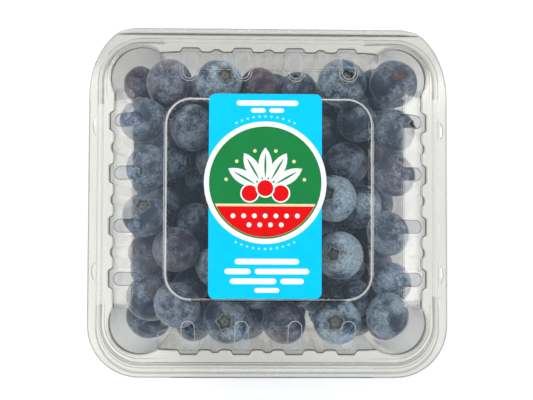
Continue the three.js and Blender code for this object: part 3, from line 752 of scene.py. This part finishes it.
def make_lips(shell):
    """Thin round lips along the edge of every vent and along every ridge, lying on the lid."""
    mesh = shell.data
    corners = [vertex.co for vertex in mesh.vertices]
    surface = BVHTree.FromPolygons(corners, [face.vertices for face in mesh.polygons])
    points, faces, looks = [], [], []
    for plan, closed, full, look in lip_paths():
        path = []
        for x, y in plan:
            hit = surface.ray_cast(Vector((x * MM, (y + SHIFT_Y) * MM, 0.1)), Vector((0, 0, -1)))
            path.append((Vector((x, y, hit[0].z / MM - LIP_SINK)), hit[1]))
        first, count = len(points), len(path)
        for k, (middle, normal) in enumerate(path):
            ahead = (k + 1) % count if closed else min(k + 1, count - 1)
            behind = k - 1 if closed else max(k - 1, 0)
            out = (path[ahead][0] - path[behind][0]).cross(normal).normalized()
            # An open lip tapers towards its ends.
            share = 1 if closed else mix(LIP_TIP, 1, math.sqrt(math.sin(math.pi * k / (count - 1))))
            thick = full * share
            for step in range(LIP_SIDES):
                turn = 2 * math.pi * step / LIP_SIDES
                points.append(tuple(middle + thick * (math.cos(turn) * out + math.sin(turn) * normal)))
        for k in range(count if closed else count - 1):
            after = (k + 1) % count
            for step in range(LIP_SIDES):
                beyond = (step + 1) % LIP_SIDES
                ring, next_ring = first + k * LIP_SIDES, first + after * LIP_SIDES
                faces.append((ring + step, ring + beyond, next_ring + beyond, next_ring + step))
        if not closed:
            end = first + (count - 1) * LIP_SIDES
            faces.append(tuple(range(first, first + LIP_SIDES))[::-1])
            faces.append(tuple(range(end, end + LIP_SIDES)))
        looks.extend([look] * (len(faces) - len(looks)))
    return make_piece("lid_lips", points, faces, cut_edges, merge=FINE_MERGE, finishes=looks)


def cut(piece, cutter):
    """Cuts one mesh out of another for good."""
    modifier = piece.modifiers.new("cut", "BOOLEAN")
    modifier.operation = "DIFFERENCE"
    modifier.solver = "EXACT"
    modifier.material_mode = "TRANSFER"
    modifier.object = cutter
    bpy.context.view_layer.update()
    depsgraph = bpy.context.evaluated_depsgraph_get()
    made = bpy.data.meshes.new_from_object(piece.evaluated_get(depsgraph), depsgraph=depsgraph)
    piece.modifiers.clear()
    old = piece.data
    piece.data = made
    bpy.data.meshes.remove(old)
    bpy.data.objects.remove(cutter)
    piece.data.set_sharp_from_angle(angle=math.radians(SHARP_FROM))


lid_shell = skin_mesh("lid_shell", lid_skin(0), lid_skin(SHEET), lid_plastic)
lid_lips = make_lips(lid_shell)
cut(lid_shell, slot_cutters())
stand_in(lid_shell, "lid", "lid")
stand_in(lid_lips, "lid", "lid")
tray_shell = skin_mesh("tray_shell", tray_skin(SHEET), tray_skin(0), tray_plastic)
stand_in(tray_shell, "tray", "tray")

# ---- Label, in mm from its own middle line ----
LABEL_HALF_X = 19
LABEL_BACK = 35.4
LABEL_FRONT = -33.5
LABEL_X = -1.3
LABEL_CORNER = 2.2
LABEL_THICKNESS = 0.15
LABEL_GAP = 0.05
BADGE_Y = 5.5
BADGE_RADIUS = 20.6
FIELD_RADIUS = 18.9
FAN_Y = 3  # where its leaves meet
BAR_X = 0.65
DOTS_RADIUS = 22.3

INKS = {
    "cyan": (0.0, 0.585, 0.95), "white": (0.9, 0.9, 0.9), "red": (0.78, 0.003, 0.004),
    "green": (0.01, 0.215, 0.052), "cream": (0.93, 0.72, 0.42), "pale": (0.32, 0.78, 1.0),
}
# Plain bars, as rows: y, thickness, and the ends of each bar.
BARS = [
    (32.3, 1.8, (-10.4, 10.4)), (29.8, 1.5, (-5.6, -0.6, 0.6, 5.6)),
    (-21.0, 1.9, (-10.8, 10.8)), (-24.3, 1.9, (-14.2, -5.4, -4.1, 14.2)),
    (-27.6, 1.9, (-12.4, 3.2, 4.5, 12.4)), (-30.6, 1.6, (-4.2, 4.2)),
]


def label_outline():
    swing = math.acos(LABEL_HALF_X / BADGE_RADIUS)
    right = LABEL_HALF_X - LABEL_CORNER
    back = LABEL_BACK - LABEL_CORNER
    front = LABEL_FRONT + LABEL_CORNER
    quarter = math.pi / 2
    return [
        *arc_points(right, front, LABEL_CORNER, -quarter, 0, 8),
        *arc_points(0, BADGE_Y, BADGE_RADIUS, -swing, swing, 18),
        *arc_points(right, back, LABEL_CORNER, 0, quarter, 8),
        *arc_points(-right, back, LABEL_CORNER, quarter, math.pi, 8),
        *arc_points(0, BADGE_Y, BADGE_RADIUS, math.pi - swing, math.pi + swing, 18),
        *arc_points(-right, front, LABEL_CORNER, math.pi, 3 * quarter, 8),
    ]


def disc(x, y, radius, steps):
    return arc_points(x, y, radius, 0, 2 * math.pi * (1 - 1 / steps), steps - 1)


def bar(x0, x1, y, thick):
    """A bar of print with round ends."""
    half, quarter = thick / 2, math.pi / 2
    right = arc_points(x1 - half, y, half, -quarter, quarter, 5)
    return right + arc_points(x0 + half, y, half, quarter, 3 * quarter, 5)


def round_place(y, radius, degrees):
    turn = math.radians(degrees)
    return radius * math.cos(turn), y + radius * math.sin(turn)


def leaf(away, degrees, length, width, steps=8):
    """A pointed leaf of the fan, whose middle lies a given way from where the leaves meet."""
    x, y = round_place(FAN_Y, away, degrees)
    along = (math.cos(math.radians(degrees)), math.sin(math.radians(degrees)))
    shape = []
    for sign in (1, -1):
        for step in range(steps):
            share = step / steps if sign > 0 else 1 - step / steps
            push = sign * width / 2 * math.sin(math.pi * share) ** 0.8
            run = (share - 0.5) * length
            shape.append((x + along[0] * run - along[1] * push, y + along[1] * run + along[0] * push))
    return shape


def label_shapes():
    """The print, lowest first: a closed shape and its ink."""
    yield label_outline(), "cyan"
    yield disc(0, BADGE_Y, BADGE_RADIUS - 0.01, 120), "white"
    yield disc(0, BADGE_Y, FIELD_RADIUS, 96), "green"
    for radius, low, ink in ((18.3, 203, "cream"), (18.25, 206, "red")):
        yield arc_points(0, BADGE_Y, radius, math.radians(low), math.radians(540 - low), 48), ink
    for degrees in range(30, 151, 30):
        yield leaf(8.6, degrees, 11.5, 4.6), "white"
        yield leaf(8.2, degrees, 8.6, 0.7), "green"
    for degrees in range(15, 166, 30):
        yield disc(*round_place(FAN_Y, 13.6, degrees), 0.6, 14), "cream"
    for x, y in ((-5.2, 1.9), (5.2, 1.9), (0.0, 3.6)):
        yield disc(x, y, 3.2, 36), "white"
        yield disc(x, y, 2.7, 36), "red"
    for y, count in ((-5.7, 7), (-8.7, 4)):
        for k in range(count):
            yield disc(3.6 * (k - (count - 1) / 2), y, 0.8, 18), "white"
    for y, thick, ends in BARS:
        for x0, x1 in zip(ends[::2], ends[1::2]):
            yield bar(x0 + BAR_X, x1 + BAR_X, y, thick), "white"
    for middle in (90, 270):
        for k in range(-5, 6):
            yield disc(*round_place(BADGE_Y, DOTS_RADIUS, middle + 5.2 * k), 0.42, 12), "pale"


def is_inside(x, y, shape):
    inside = False
    for (x0, y0), (x1, y1) in zip(shape, [*shape[1:], shape[0]]):
        if (y0 > y) != (y1 > y) and x < (x1 - x0) * (y - y0) / (y1 - y0) + x0:
            inside = not inside
    return inside


def make_label():
    """A thin slab whose top is cut into its fields of ink."""
    order = list(INKS)
    shapes = list(label_shapes())
    corners, loops = [], []
    for shape, _ in shapes:
        loops.append(list(range(len(corners), len(corners) + len(shape))))
        corners.extend(Vector(place) for place in shape)
    flat, _, triangles = geometry.delaunay_2d_cdt(corners, [], loops, 1, 1e-5)[:3]
    top = PLATEAU_Z + LABEL_GAP + LABEL_THICKNESS
    points = [(place.x + LABEL_X, place.y, top) for place in flat]
    faces, face_inks = [], []
    for triangle in triangles:
        x = sum(flat[k].x for k in triangle) / 3
        y = sum(flat[k].y for k in triangle) / 3
        inks = [ink for shape, ink in shapes if is_inside(x, y, shape)]
        if inks:
            faces.append(tuple(triangle))
            face_inks.append(order.index(inks[-1]))
    border = shapes[0][0]
    first, count = len(points), len(border)
    for z in (top, PLATEAU_Z + LABEL_GAP):
        points.extend((x + LABEL_X, y, z) for x, y in border)
    faces.extend(ring_walls(first, count))
    faces.append(tuple(range(first + count, first + 2 * count))[::-1])
    face_inks.extend([order.index("white")] * (count + 1))
    materials = [printed_paper("ink_" + ink, INKS[ink]) for ink in order]
    piece = make_piece("label_print", points, faces, materials, merge=LABEL_MERGE, finishes=face_inks)
    piece.data.shade_flat()
    return piece


stand_in(make_label(), "label", "lid")

# ---- Berries ----
BERRY_GAP = 0.35
BERRY_SQUASH = 0.92
NEST = 0.8  # how far a berry sinks beside those above it
TOUCH = 0.97
BERRY_MIN = 6.9
BERRY_MAX = 8.3
LAYER_Z = (11.8, 24.2, 36.6)
LOWER_TOP = 39
LAYER_SPACING = 16.6
LAYER_REACH = 3
JITTER = 1.6
SETTLE_ROUNDS = 120
MAX_BITE = 2.6
LOBES = 5  # of the crown
LOBE_HEIGHTS = (0.55, 1.35)
LOBE_SKEW = 0.25
LOBE_SPREAD = 0.3
LOBE_LOW, LOBE_RISE = 0.06, 0.16  # the rim's height between and on lobes, to its radius
CROWN_FOOT = 1.2
UNEVEN = 0.03  # of its radius
PALE_SCAR = 0.4  # a stem scar that doesn't face up
PLAIN_SCALE = 0.99  # a berry that lies on its side stays within its place
CROWN_PIT = 0.12  # the depth of the middle of the crown, and of the stem scar, to its radius
STEM_PIT = 0.06
BERRY_SHARP_FROM = 70  # degrees
# How many points a berry has round it and how many rings down its side, and then its crowns: the rim's radius
# and how far the lobes stand open. The fine ones are for the top layer.
FINE_GRID, FINE_RIMS = (40, 22), ((0.31, 0.7), (0.34, 1.0), (0.29, 0.5))
PLAIN_GRID, PLAIN_RIMS = (25, 12), ((0.3, 0.8), (0.33, 1.1))
PLAIN_SEED = 9

# The top layer, those on top first: x, y, radius, kind, how much bloom it has and how plum it is (0 to 1).
# Where an end shows, also which one, and its lean in x and y.
TOP_BERRIES = [
    (-31.2, -36.2, 8.4, "slate", 0.6, 0.25), (-31.9, -17.2, 8.2, "plum", 0.45, 0.55),
    (-42.8, -5.2, 7.7, "slate", 0.45, 0.15, "crown", 0, 0.5), (-41.9, 11.2, 7.9, "slate", 0.5, 0.1),
    (-43.6, 27.8, 8.3, "slate", 0.55, 0.1), (-34.8, 41.7, 8.8, "plum", 0.55, 0.3),
    (-17.2, 41.2, 8.2, "blue", 0.75, 0.0, "crown", 0.33, 0.25),
    (25.9, 43.1, 8.6, "blue", 0.45, 0.0, "crown", 0.16, 0.16),
    (43.7, 41.1, 8.4, "slate", 0.3, 0.25, "scar", 0.12, 0.28), (-26.9, 25.9, 8.4, "slate", 0.75, 0.1),
    (-18.4, 15.2, 7.6, "slate", 0.7, 0.25), (22.6, 0.7, 8.2, "blue", 0.95, 0.0, "crown", -0.35, 0.22),
    (43.9, 9.0, 7.6, "plum", 0.55, 0.35, "crown", 0.42, 0.7), (41.6, -11.0, 7.7, "slate", 0.6, 0.15),
    (24.9, -19.0, 8.3, "blue", 0.98, 0.05, "crown", -0.4, 0.04), (41.6, -39.6, 8.0, "slate", 0.65, 0.05),
    (24.2, -41.7, 8.3, "blue", 0.8, 0.0, "crown", -0.17, 0),
    (-13.9, -41.4, 8.3, "blue", 0.5, 0.1, "crown", -0.12, -0.04), (5.7, -43.0, 8.0, "plum", 0.3, 0.2),
    (-3.2, 40.2, 7.2, "plum", 0.35, 0.85, "scar", 0.6, -0.1),
    (6.4, 25.9, 7.7, "blue", 0.6, 0.0, "crown", -0.4, 0.2), (-2.2, 11.4, 7.8, "slate", 0.5, 0.2),
    (-8.8, -2.1, 7.6, "blue", 0.5, 0.1, "crown", -0.3, 0.4),
    (6.8, -1.4, 7.8, "slate", 0.5, 0.1, "scar", 0.4, -0.3),
    (-2.2, -16.6, 7.7, "plum", 0.4, 0.3, "crown", 0.1, 0.5), (-18.1, -23.1, 7.4, "slate", 0.5, 0.2),
    (10.9, -29.7, 7.5, "blue", 0.5, 0.1, "crown", 0.4, 0.2), (-4.6, -30.7, 7.6, "slate", 0.5, 0.1),
    (45.4, 24.9, 7.4, "slate", 0.5, 0.1, "crown", 0.8, 0.1), (32.0, 28.4, 7.5, "slate", 0.65, 0.05),
    (28.2, 13.8, 8.2, "slate", 0.8, 0.2), (33.2, -1.6, 7.9, "blue", 0.8, 0.1),
    (44.0, -28.6, 7.6, "blue", 0.65, 0.05), (-9.5, 27.3, 7.6, "slate", 0.5, 0.1),
    (10.6, 39.7, 6.7, "slate", 0.2, 0.1, "crown", -0.15, 0.58),
    (-41.5, -34.2, 8.4, "slate", 0.45, 0.15, "scar", 0.16, 0.37),
    (-41.9, -18.3, 7.3, "plum", 0.4, 0.5, "scar", 0, -0.64), (-23.6, 7.8, 7.1, "blue", 0.75, 0.05),
    (-27.7, -30.7, 7.1, "slate", 0.2, 0.15), (-47.0, 42.2, 6.9, "plum", 0.4, 0.7),
    (-44.1, -43.5, 8.4, "slate", 0.45, 0.15), (42.6, -45.0, 7.4, "slate", 0.2, 0.1),
    (39.9, -0.7, 6.4, "slate", 0.35, 0.2), (38.5, 42.4, 5.9, "slate", 0.35, 0.2),
    (19.5, 25.2, 6.4, "slate", 0.3, 0.15), (23.7, 19.0, 6.6, "plum", 0.35, 0.35),
    (-25.7, -7.2, 6.6, "slate", 0.3, 0.15), (28.2, -23.1, 6.9, "slate", 0.3, 0.15),
    (-26.2, -45.4, 6.8, "slate", 0.3, 0.1), (-6.7, -44.2, 6.4, "blue", 0.4, 0.1),
    (17.8, -34.2, 6.2, "slate", 0.3, 0.1), (33.0, -45.2, 6.6, "slate", 0.3, 0.1),
    (17.8, -10.7, 5.9, "slate", 0.3, 0.1), (-31.2, -1.4, 5.9, "plum", 0.3, 0.4),
]
# The crown from its foot to its middle: share of the rim's radius, of the rim's rise, and a depth,
# all to the berry's radius; then how much of it is calyx and how much is pit.
# Its pit colour is partly the crown's dry tissue and partly painted shade in the hollow.
CROWN_RINGS = [
    (1.5, 0, 0, 0, 0), (1.3, 0, -0.004, 0, 0.12), (1.14, 0, -0.022, 0.12, 0.4), (1.05, 0.35, -0.02, 0.7, 0.1),
    (1, 1, 0, 1, 0), (0.93, 1, -0.004, 1, 0), (0.85, 0.6, -0.03, 0.8, 0.3), (0.77, 0, -0.09, 0.3, 0.95),
    (0.66, 0, -0.125, 0.3, 0.9), (0.52, 0, -0.13, 0.75, 0.45), (0.34, 0, -0.122, 0.85, 0.35),
    (0.24, 0, -0.105, 0.9, 0.15), (0.16, 0, -0.1, 0.9, 0.25), (0.1, 0, -0.115, 0.4, 0.9),
    (0.045, 0, -0.12, 0.3, 1),
]
# The stem end from its foot to its middle: radius, depth, how much is pit, and how much is scar.
STEM_RINGS = [
    (0.34, 0, 0, 0), (0.27, -0.012, 0, 0.15), (0.22, -0.03, 0.05, 0.5), (0.18, -0.036, 0, 0.75),
    (0.14, -0.03, 0, 0.9), (0.1, -0.036, 0.15, 1), (0.06, -0.05, 0.5, 0.9), (0.025, -0.058, 0.8, 0.6),
]


def seeded(seed):
    state = seed
    while True:
        state = (state * 1664525 + 1013904223) & 0xFFFFFFFF
        yield state / 2 ** 32


def wall_limit(side, radius, z):
    """How far out a berry's centre may lie between the walls."""
    share = min(1, max(0, z / TRAY_RIM_Z))
    return mix(BASE[side], RIM[side], share) - WALL - BERRY_GAP - radius


def ceiling(x, y, radius):
    """The highest place for a berry's centre under the roof and the lid's slopes."""
    clear = radius + BERRY_GAP
    top = ROOF_Z - WALL - clear
    beside_x = abs(x) < POST_RIM["cx"] - POST_LOBE * POST_RIM["rx"]
    beside_y = abs(y) < POST_RIM["cy"] - POST_LOBE * POST_RIM["ry"]
    if beside_x or beside_y:
        rise = math.sqrt(2) * clear
        top = min(top, LID_FOOT["x"] + LID_RIM_Z - 2 * WALL - abs(x) - rise)
        top = min(top, LID_FOOT["front"] + LID_RIM_Z - 2 * WALL - abs(y) - rise)
    return top


class Berry:
    def __init__(self, x, y, z, radius, kind, bloom, plum, end=None, lean_x=0, lean_y=0, fixed=False):
        self.x, self.y, self.z, self.radius = x, y, z, radius
        self.kind, self.bloom, self.plum, self.end = kind, bloom, plum, end
        self.lean_x, self.lean_y, self.fixed = lean_x, lean_y, fixed

    def contain(self):
        """Moves the berry inside the tray's walls, floor and corner posts."""
        self.z = max(RECESS_Z + BERRY_GAP + self.radius, self.z)
        if not self.fixed:
            self.z = min(LOWER_TOP, ceiling(self.x, self.y, self.radius), self.z)
        share = min(1, max(0, self.z / TRAY_RIM_Z))
        post = [mix(POST_BASE[key], POST_RIM[key], share) for key in ("cx", "cy", "rx")]
        post_x, post_y, post_radius = post
        over_x, over_y = abs(self.x) - post_x, abs(self.y) - post_y
        if over_x > 0 and over_y > 0:
            reach = post_radius - WALL - BERRY_GAP - self.radius
            inward = min(1, reach / math.sqrt(over_x * over_x + over_y * over_y))
            self.x = math.copysign(post_x + over_x * inward, self.x)
            self.y = math.copysign(post_y + over_y * inward, self.y)
            return
        limit_x, limit_y = (wall_limit(side, self.radius, self.z) for side in ("x", "front"))
        self.x = min(limit_x, max(-limit_x, self.x))
        self.y = min(limit_y, max(-limit_y, self.y))


def place_top_layer():
    """Each berry lies as high as the roof and those before it in the list let it."""
    berries = []
    for x, y, radius, *rest in TOP_BERRIES:
        z = ceiling(x, y, radius)
        for upper in berries:
            apart = (x - upper.x) ** 2 + (y - upper.y) ** 2
            touch = (radius + upper.radius) ** 2
            if apart < touch:
                z = min(z, upper.z - NEST * math.sqrt(touch - apart))
        berry = Berry(x, y, z, radius, *rest, fixed=True)
        berry.contain()
        berries.append(berry)
    return berries


def scatter_lower_layers():
    """The layers below start on a staggered grid."""
    berries = []
    numbers = seeded(SEED)
    looks = random.Random(SEED)
    grid = range(-LAYER_REACH, LAYER_REACH + 1)
    for layer, row, column in itertools.product(range(len(LAYER_Z)), grid, grid):
        stagger = 0 if layer % 2 == 0 else 0.5
        x = (column + stagger) * LAYER_SPACING + (2 * next(numbers) - 1) * JITTER
        y = (row + stagger) * LAYER_SPACING + (2 * next(numbers) - 1) * JITTER
        radius = mix(BERRY_MIN, BERRY_MAX, next(numbers))
        lean_x = 2 * next(numbers) - 1
        lean_y = (2 * next(numbers) - 1) * math.sqrt(1 - lean_x * lean_x)
        z = LAYER_Z[layer] + (2 * next(numbers) - 1) * JITTER
        kind = looks.choice(("blue", "blue", "slate", "slate", "plum"))
        bloom, plum = looks.uniform(0.3, 0.8), looks.uniform(0.0, 0.2) + (0.35 if kind == "plum" else 0)
        end = looks.choice(("crown", "scar"))
        if abs(x) <= BASE["x"] and abs(y) <= BASE["front"]:
            berry = Berry(x, y, z, radius, kind, bloom, plum, end, lean_x, lean_y)
            berry.contain()
            berries.append(berry)
    return berries


def bite(one, other):
    """How deep two berries cut into each other, and the direction between them."""
    dx, dy, dz = other.x - one.x, other.y - one.y, other.z - one.z
    distance = math.sqrt(dx * dx + dy * dy + dz * dz) or 1
    return (one.radius + other.radius) * TOUCH - distance, dx / distance, dy / distance, dz / distance


def settle(berries):
    for _ in range(SETTLE_ROUNDS):
        for i, one in enumerate(berries):
            for other in berries[i + 1:]:
                if one.fixed and other.fixed:
                    continue
                depth, *way = bite(one, other)
                if depth <= 0:
                    continue
                one_share = 0 if one.fixed else (1 if other.fixed else 0.5) * depth
                other_share = 0 if other.fixed else (1 if one.fixed else 0.5) * depth
                for axis, step in zip("xyz", way):
                    setattr(one, axis, getattr(one, axis) - step * one_share)
                    setattr(other, axis, getattr(other, axis) + step * other_share)
        for berry in berries:
            if not berry.fixed:
                berry.contain()
    return [
        berry for index, berry in enumerate(berries)
        if berry.fixed or all(bite(berry, other)[0] < MAX_BITE for other in berries[:index])
    ]


def berry_shape(segments, side_rings, rim, open_end, seed):
    """Points, faces and marks of a berry of radius 1, crown up. Marks are calyx, pit and scar."""
    points, marks = [], []
    turns = [2 * math.pi * k / segments for k in range(segments)]
    torn = random.Random(seed)
    tall = [torn.uniform(*LOBE_HEIGHTS) for _ in range(LOBES)]
    skew = [torn.uniform(-LOBE_SKEW, LOBE_SKEW) for _ in range(LOBES)]

    def skin_height(reach):
        return BERRY_SQUASH * math.sqrt(max(0.0, 1 - reach * reach))

    def add(reach, turn, height, mark):
        points.append((reach * math.cos(turn), reach * math.sin(turn), height))
        marks.append(mark)

    for share, rise, depth, calyx, pit in CROWN_RINGS:
        for turn in turns:
            at = round(LOBES * turn / (2 * math.pi)) % LOBES
            lobe = tall[at] * (0.5 + 0.5 * math.cos(LOBES * turn + skew[at])) ** 0.8
            reach = rim * share * (1 + (LOBE_SPREAD * (lobe - 0.5) if share < CROWN_FOOT else 0))
            raised = rise * rim * (LOBE_LOW + LOBE_RISE * lobe) * open_end
            add(reach, turn, skin_height(reach) + depth + raised, (calyx, pit, 0))
    points.reverse()  # from the middle out
    marks.reverse()
    start = math.asin(min(1.0, rim * CROWN_RINGS[0][0]))
    end = math.pi - math.asin(STEM_RINGS[0][0])
    for step in range(1, side_rings):
        angle = mix(start, end, step / side_rings)
        for turn in turns[::-1]:
            add(math.sin(angle), turn, BERRY_SQUASH * math.cos(angle), (0, 0, 0))
    for reach, depth, pit, scar in STEM_RINGS:
        for turn in turns[::-1]:
            add(reach, turn, -skin_height(reach) - depth, (0, pit, scar))
    top, low = len(points), len(points) + 1
    add(0, 0, BERRY_SQUASH - CROWN_PIT, (0.3, 1, 0))
    add(0, 0, STEM_PIT - BERRY_SQUASH, (0, 0.9, 0.5))
    last = top - segments
    faces = []
    for k in range(segments):
        after = (k + 1) % segments
        faces.append((top, after, k))
        for ring in range(0, last, segments):
            faces.append((ring + k, ring + after, ring + segments + after, ring + segments + k))
        faces.append((last + k, last + after, low))
    return np.array(points), faces, np.array(marks)


def berry_points(berry, shape, looks):
    """One berry's points in place, a little uneven, and its marks and tints."""
    points, _, marks = shape
    if berry.end:
        up = math.sqrt(max(0, 1 - berry.lean_x ** 2 - berry.lean_y ** 2))
        lean = Vector((berry.lean_x, berry.lean_y, up)).normalized()
    else:
        # Neither end shows: the axis lies down.
        lean = Vector((looks.uniform(-1, 1), looks.uniform(-1, 1), -0.25)).normalized()
    turn = Vector((0, 0, -1 if berry.end == "scar" else 1)).rotation_difference(lean)
    turn = turn @ Quaternion((0, 0, 1), looks.uniform(0, 2 * math.pi))
    shift = Vector([looks.uniform(0, 50) for _ in range(3)])
    uneven = np.array([noise.noise(Vector(point) * 1.5 + shift) for point in points])
    placed = points * (1 + UNEVEN * uneven[:, None]) @ np.array(turn.to_matrix()).T
    if not berry.end:
        placed = placed * PLAIN_SCALE
    placed = placed * berry.radius + (berry.x, berry.y, berry.z)
    rubbed = np.array([max(0.0, noise.noise(Vector(point) * 1.1 - shift)) for point in points])
    ones = np.ones(len(points))
    faint = 1 if berry.end else PALE_SCAR
    calyx, pit, scar = marks.T
    return placed, {
        "marks": np.column_stack([calyx, pit * faint, ones * berry.bloom, ones]),
        "tints": np.column_stack([ones * berry.plum, scar * faint, rubbed, ones]),
    }


# Each kind's skin, its bloom, and how much of it the bloom leaves bare.
KINDS = {
    "blue": ((0.012, 0.035, 0.073), (0.318, 0.417, 0.52), 0.55),
    "slate": ((0.016, 0.037, 0.074), (0.275, 0.355, 0.452), 0.56),
    "plum": ((0.024, 0.034, 0.066), (0.255, 0.295, 0.372), 0.56),
}


def make_berries():
    heap = settle([*place_top_layer(), *scatter_lower_layers()])
    looks = random.Random(SEED + 1)
    fine = [berry_shape(*FINE_GRID, *rim, seed) for seed, rim in enumerate(FINE_RIMS)]
    plain = [berry_shape(*PLAIN_GRID, *rim, PLAIN_SEED) for rim in PLAIN_RIMS]
    for kind, finish in KINDS.items():
        points, faces, layers = [], [], {"marks": [], "tints": []}
        for berry in heap:
            if berry.kind != kind:
                continue
            shape = looks.choice(fine if berry.fixed else plain)
            placed, values = berry_points(berry, shape, looks)
            first = len(points)
            faces.extend(tuple(first + k for k in face) for face in shape[1])
            points.extend(map(tuple, placed))
            for name, value in values.items():
                layers[name].append(value)
        skin = berry_skin("skin_" + kind, *finish)
        piece = make_piece("berries_" + kind, points, faces, [skin], sharp_from=BERRY_SHARP_FROM)
        for name, values in layers.items():
            layer = piece.data.color_attributes.new(name, "FLOAT_COLOR", "POINT")
            layer.data.foreach_set("color", np.concatenate(values).astype(np.float32).ravel())
        stand_in(piece, "berries", "tray")


CORE_BOTTOM, CORE_TOP = 12.5, 29.0
CORE_FLARE = 27.5  # the height over which it would widen in full
CORE_HALF_X = (33, 38)  # at its bottom, and where it would be widest
CORE_HALF_Y = (31, 36)
CORE_CUTS = 14
CORE_WOBBLE = 2.6
CORE_WAVES = 0.09  # per mm


def make_shade_core():
    """A dark blob inside the heap, below the berries that show: painted shade for the gaps between them."""
    work = bmesh.new()
    bmesh.ops.create_cube(work, size=2)
    bmesh.ops.subdivide_edges(work, edges=work.edges, cuts=CORE_CUTS, use_grid_fill=True)
    for vertex in work.verts:
        x, y, z = vertex.co
        height = mix(CORE_BOTTOM, CORE_TOP, (z + 1) / 2)
        share = (height - CORE_BOTTOM) / CORE_FLARE
        place = Vector((x * mix(*CORE_HALF_X, share), y * mix(*CORE_HALF_Y, share), height))
        shifts = (Vector((0, 0, up)) for up in (0, 40, 80))
        wobble = Vector([noise.noise(place * CORE_WAVES + shift) for shift in shifts]) * CORE_WOBBLE
        vertex.co = (place + wobble + Vector((0, SHIFT_Y, 0))) * MM
    mesh = bpy.data.meshes.new("heap_shade_core")
    work.to_mesh(mesh)
    work.free()
    mesh.shade_smooth()
    mesh.materials.append(berry_skin("skin_shade", (0.012, 0.03, 0.056), (0.045, 0.082, 0.13), 0.68))
    stand_in(add_object("heap_shade_core", mesh), "berries", "tray")


make_berries()
make_shade_core()

# ---- Floor, light and camera, in metres ----
FLOOR_HALF = 3.0
FLOOR_Z = -0.0003
AIM_Z = 0.04  # the height that the softboxes are aimed at
CAMERA_PLACE = (-0.01006, -0.01559, 0.431)
CAMERA_TARGET = (-0.00061, 0.00078, 0.051)
CAMERA_ROLL = -0.004
CAMERA_LENS = 74.5

# Each light's place, size and radiance, and whether it is a card that only gloss shows.
LIGHTS = {
    "softbox_left": ((-0.5, 0.3, 0.65), (0.3, 0.34), 8.0, False),
    "softbox_right": ((0.6, 0.05, 0.55), (0.26, 0.3), 6.0, False),
    "softbox_back": ((-0.1, 0.7, 0.6), (0.6, 0.14), 6.0, False),
    "softbox_front": ((0.1, -0.7, 0.5), (0.5, 0.1), 7.0, False),
    "card_left": ((-0.4, 0.0, 0.05), (0.7, 0.1), 3.2, True),
    "card_right": ((0.4, 0.0, 0.05), (0.7, 0.1), 4.5, True),
}


def make_floor():
    mesh = bpy.data.meshes.new("floor")
    ends = ((-1, -1), (1, -1), (1, 1), (-1, 1))
    mesh.from_pydata([(x * FLOOR_HALF, y * FLOOR_HALF, FLOOR_Z) for x, y in ends], [], [(0, 1, 2, 3)])
    looks = new_material("floor_pale")
    mesh.materials.append(looks.finish(looks.node("BsdfPrincipled", {
        "Base Color": (0.93, 0.93, 0.93), "Roughness": 0.9, "Specular IOR Level": 0.1,
        "Emission Color": (1, 1, 1), "Emission Strength": 0.33,
    }).outputs[0]))
    add_object("floor", mesh)


def make_world():
    """Pale walls all round and a dimmer, bluer ceiling."""
    world = bpy.data.worlds.new("studio")
    bpy.context.scene.world = world
    looks = Looks(world)
    height = looks.node("SeparateXYZ", {0: looks.place["Generated"]}).outputs["Z"]
    shade = looks.ramp(height, [(0.0, 1), (0.25, 1), (0.6, (0.57, 0.59, 0.62)), (1.0, (0.28, 0.35, 0.445))])
    looks.finish(looks.node("Background", {"Color": shade}).outputs[0], "OutputWorld")


def add_light(name, place, size, radiance, is_card):
    """A softbox aimed at the punnet, or a white card beside it."""
    light = bpy.data.lights.new(name, "AREA")
    light.shape = "RECTANGLE"
    light.size, light.size_y = size
    light.energy = radiance * math.pi * size[0] * size[1]
    lamp = add_object(name, light)
    lamp.location = place
    lamp.rotation_mode = "QUATERNION"
    aim = Vector((0, 0, place[2] if is_card else AIM_Z))
    lamp.rotation_quaternion = (aim - Vector(place)).to_track_quat("-Z", "Y")
    lamp.visible_camera = False
    if is_card:
        lamp.visible_diffuse = False


def make_camera():
    place, target = Vector(CAMERA_PLACE), Vector(CAMERA_TARGET)
    back = (place - target).normalized()
    right = Vector((math.sin(CAMERA_ROLL), math.cos(CAMERA_ROLL), 0)).cross(back).normalized()
    camera = add_object("camera", bpy.data.cameras.new("camera"))
    camera.data.lens = CAMERA_LENS
    camera.data.sensor_width = 36
    camera.data.clip_start = 0.01
    axes = Matrix((right, back.cross(right), back)).transposed()
    camera.matrix_world = Matrix.Translation(place) @ axes.to_4x4()
    bpy.context.scene.camera = camera


make_floor()
make_world()
for name, values in LIGHTS.items():
    add_light(name, *values)
make_camera()

scene = bpy.context.scene
scene.view_settings.view_transform = "Standard"
scene.view_settings.look = "None"
for setting, value in (
    ("max_bounces", 16), ("transparent_max_bounces", 40), ("transmission_bounces", 8),
    ("caustics_reflective", False), ("caustics_refractive", False),
):
    setattr(scene.cycles, setting, value)
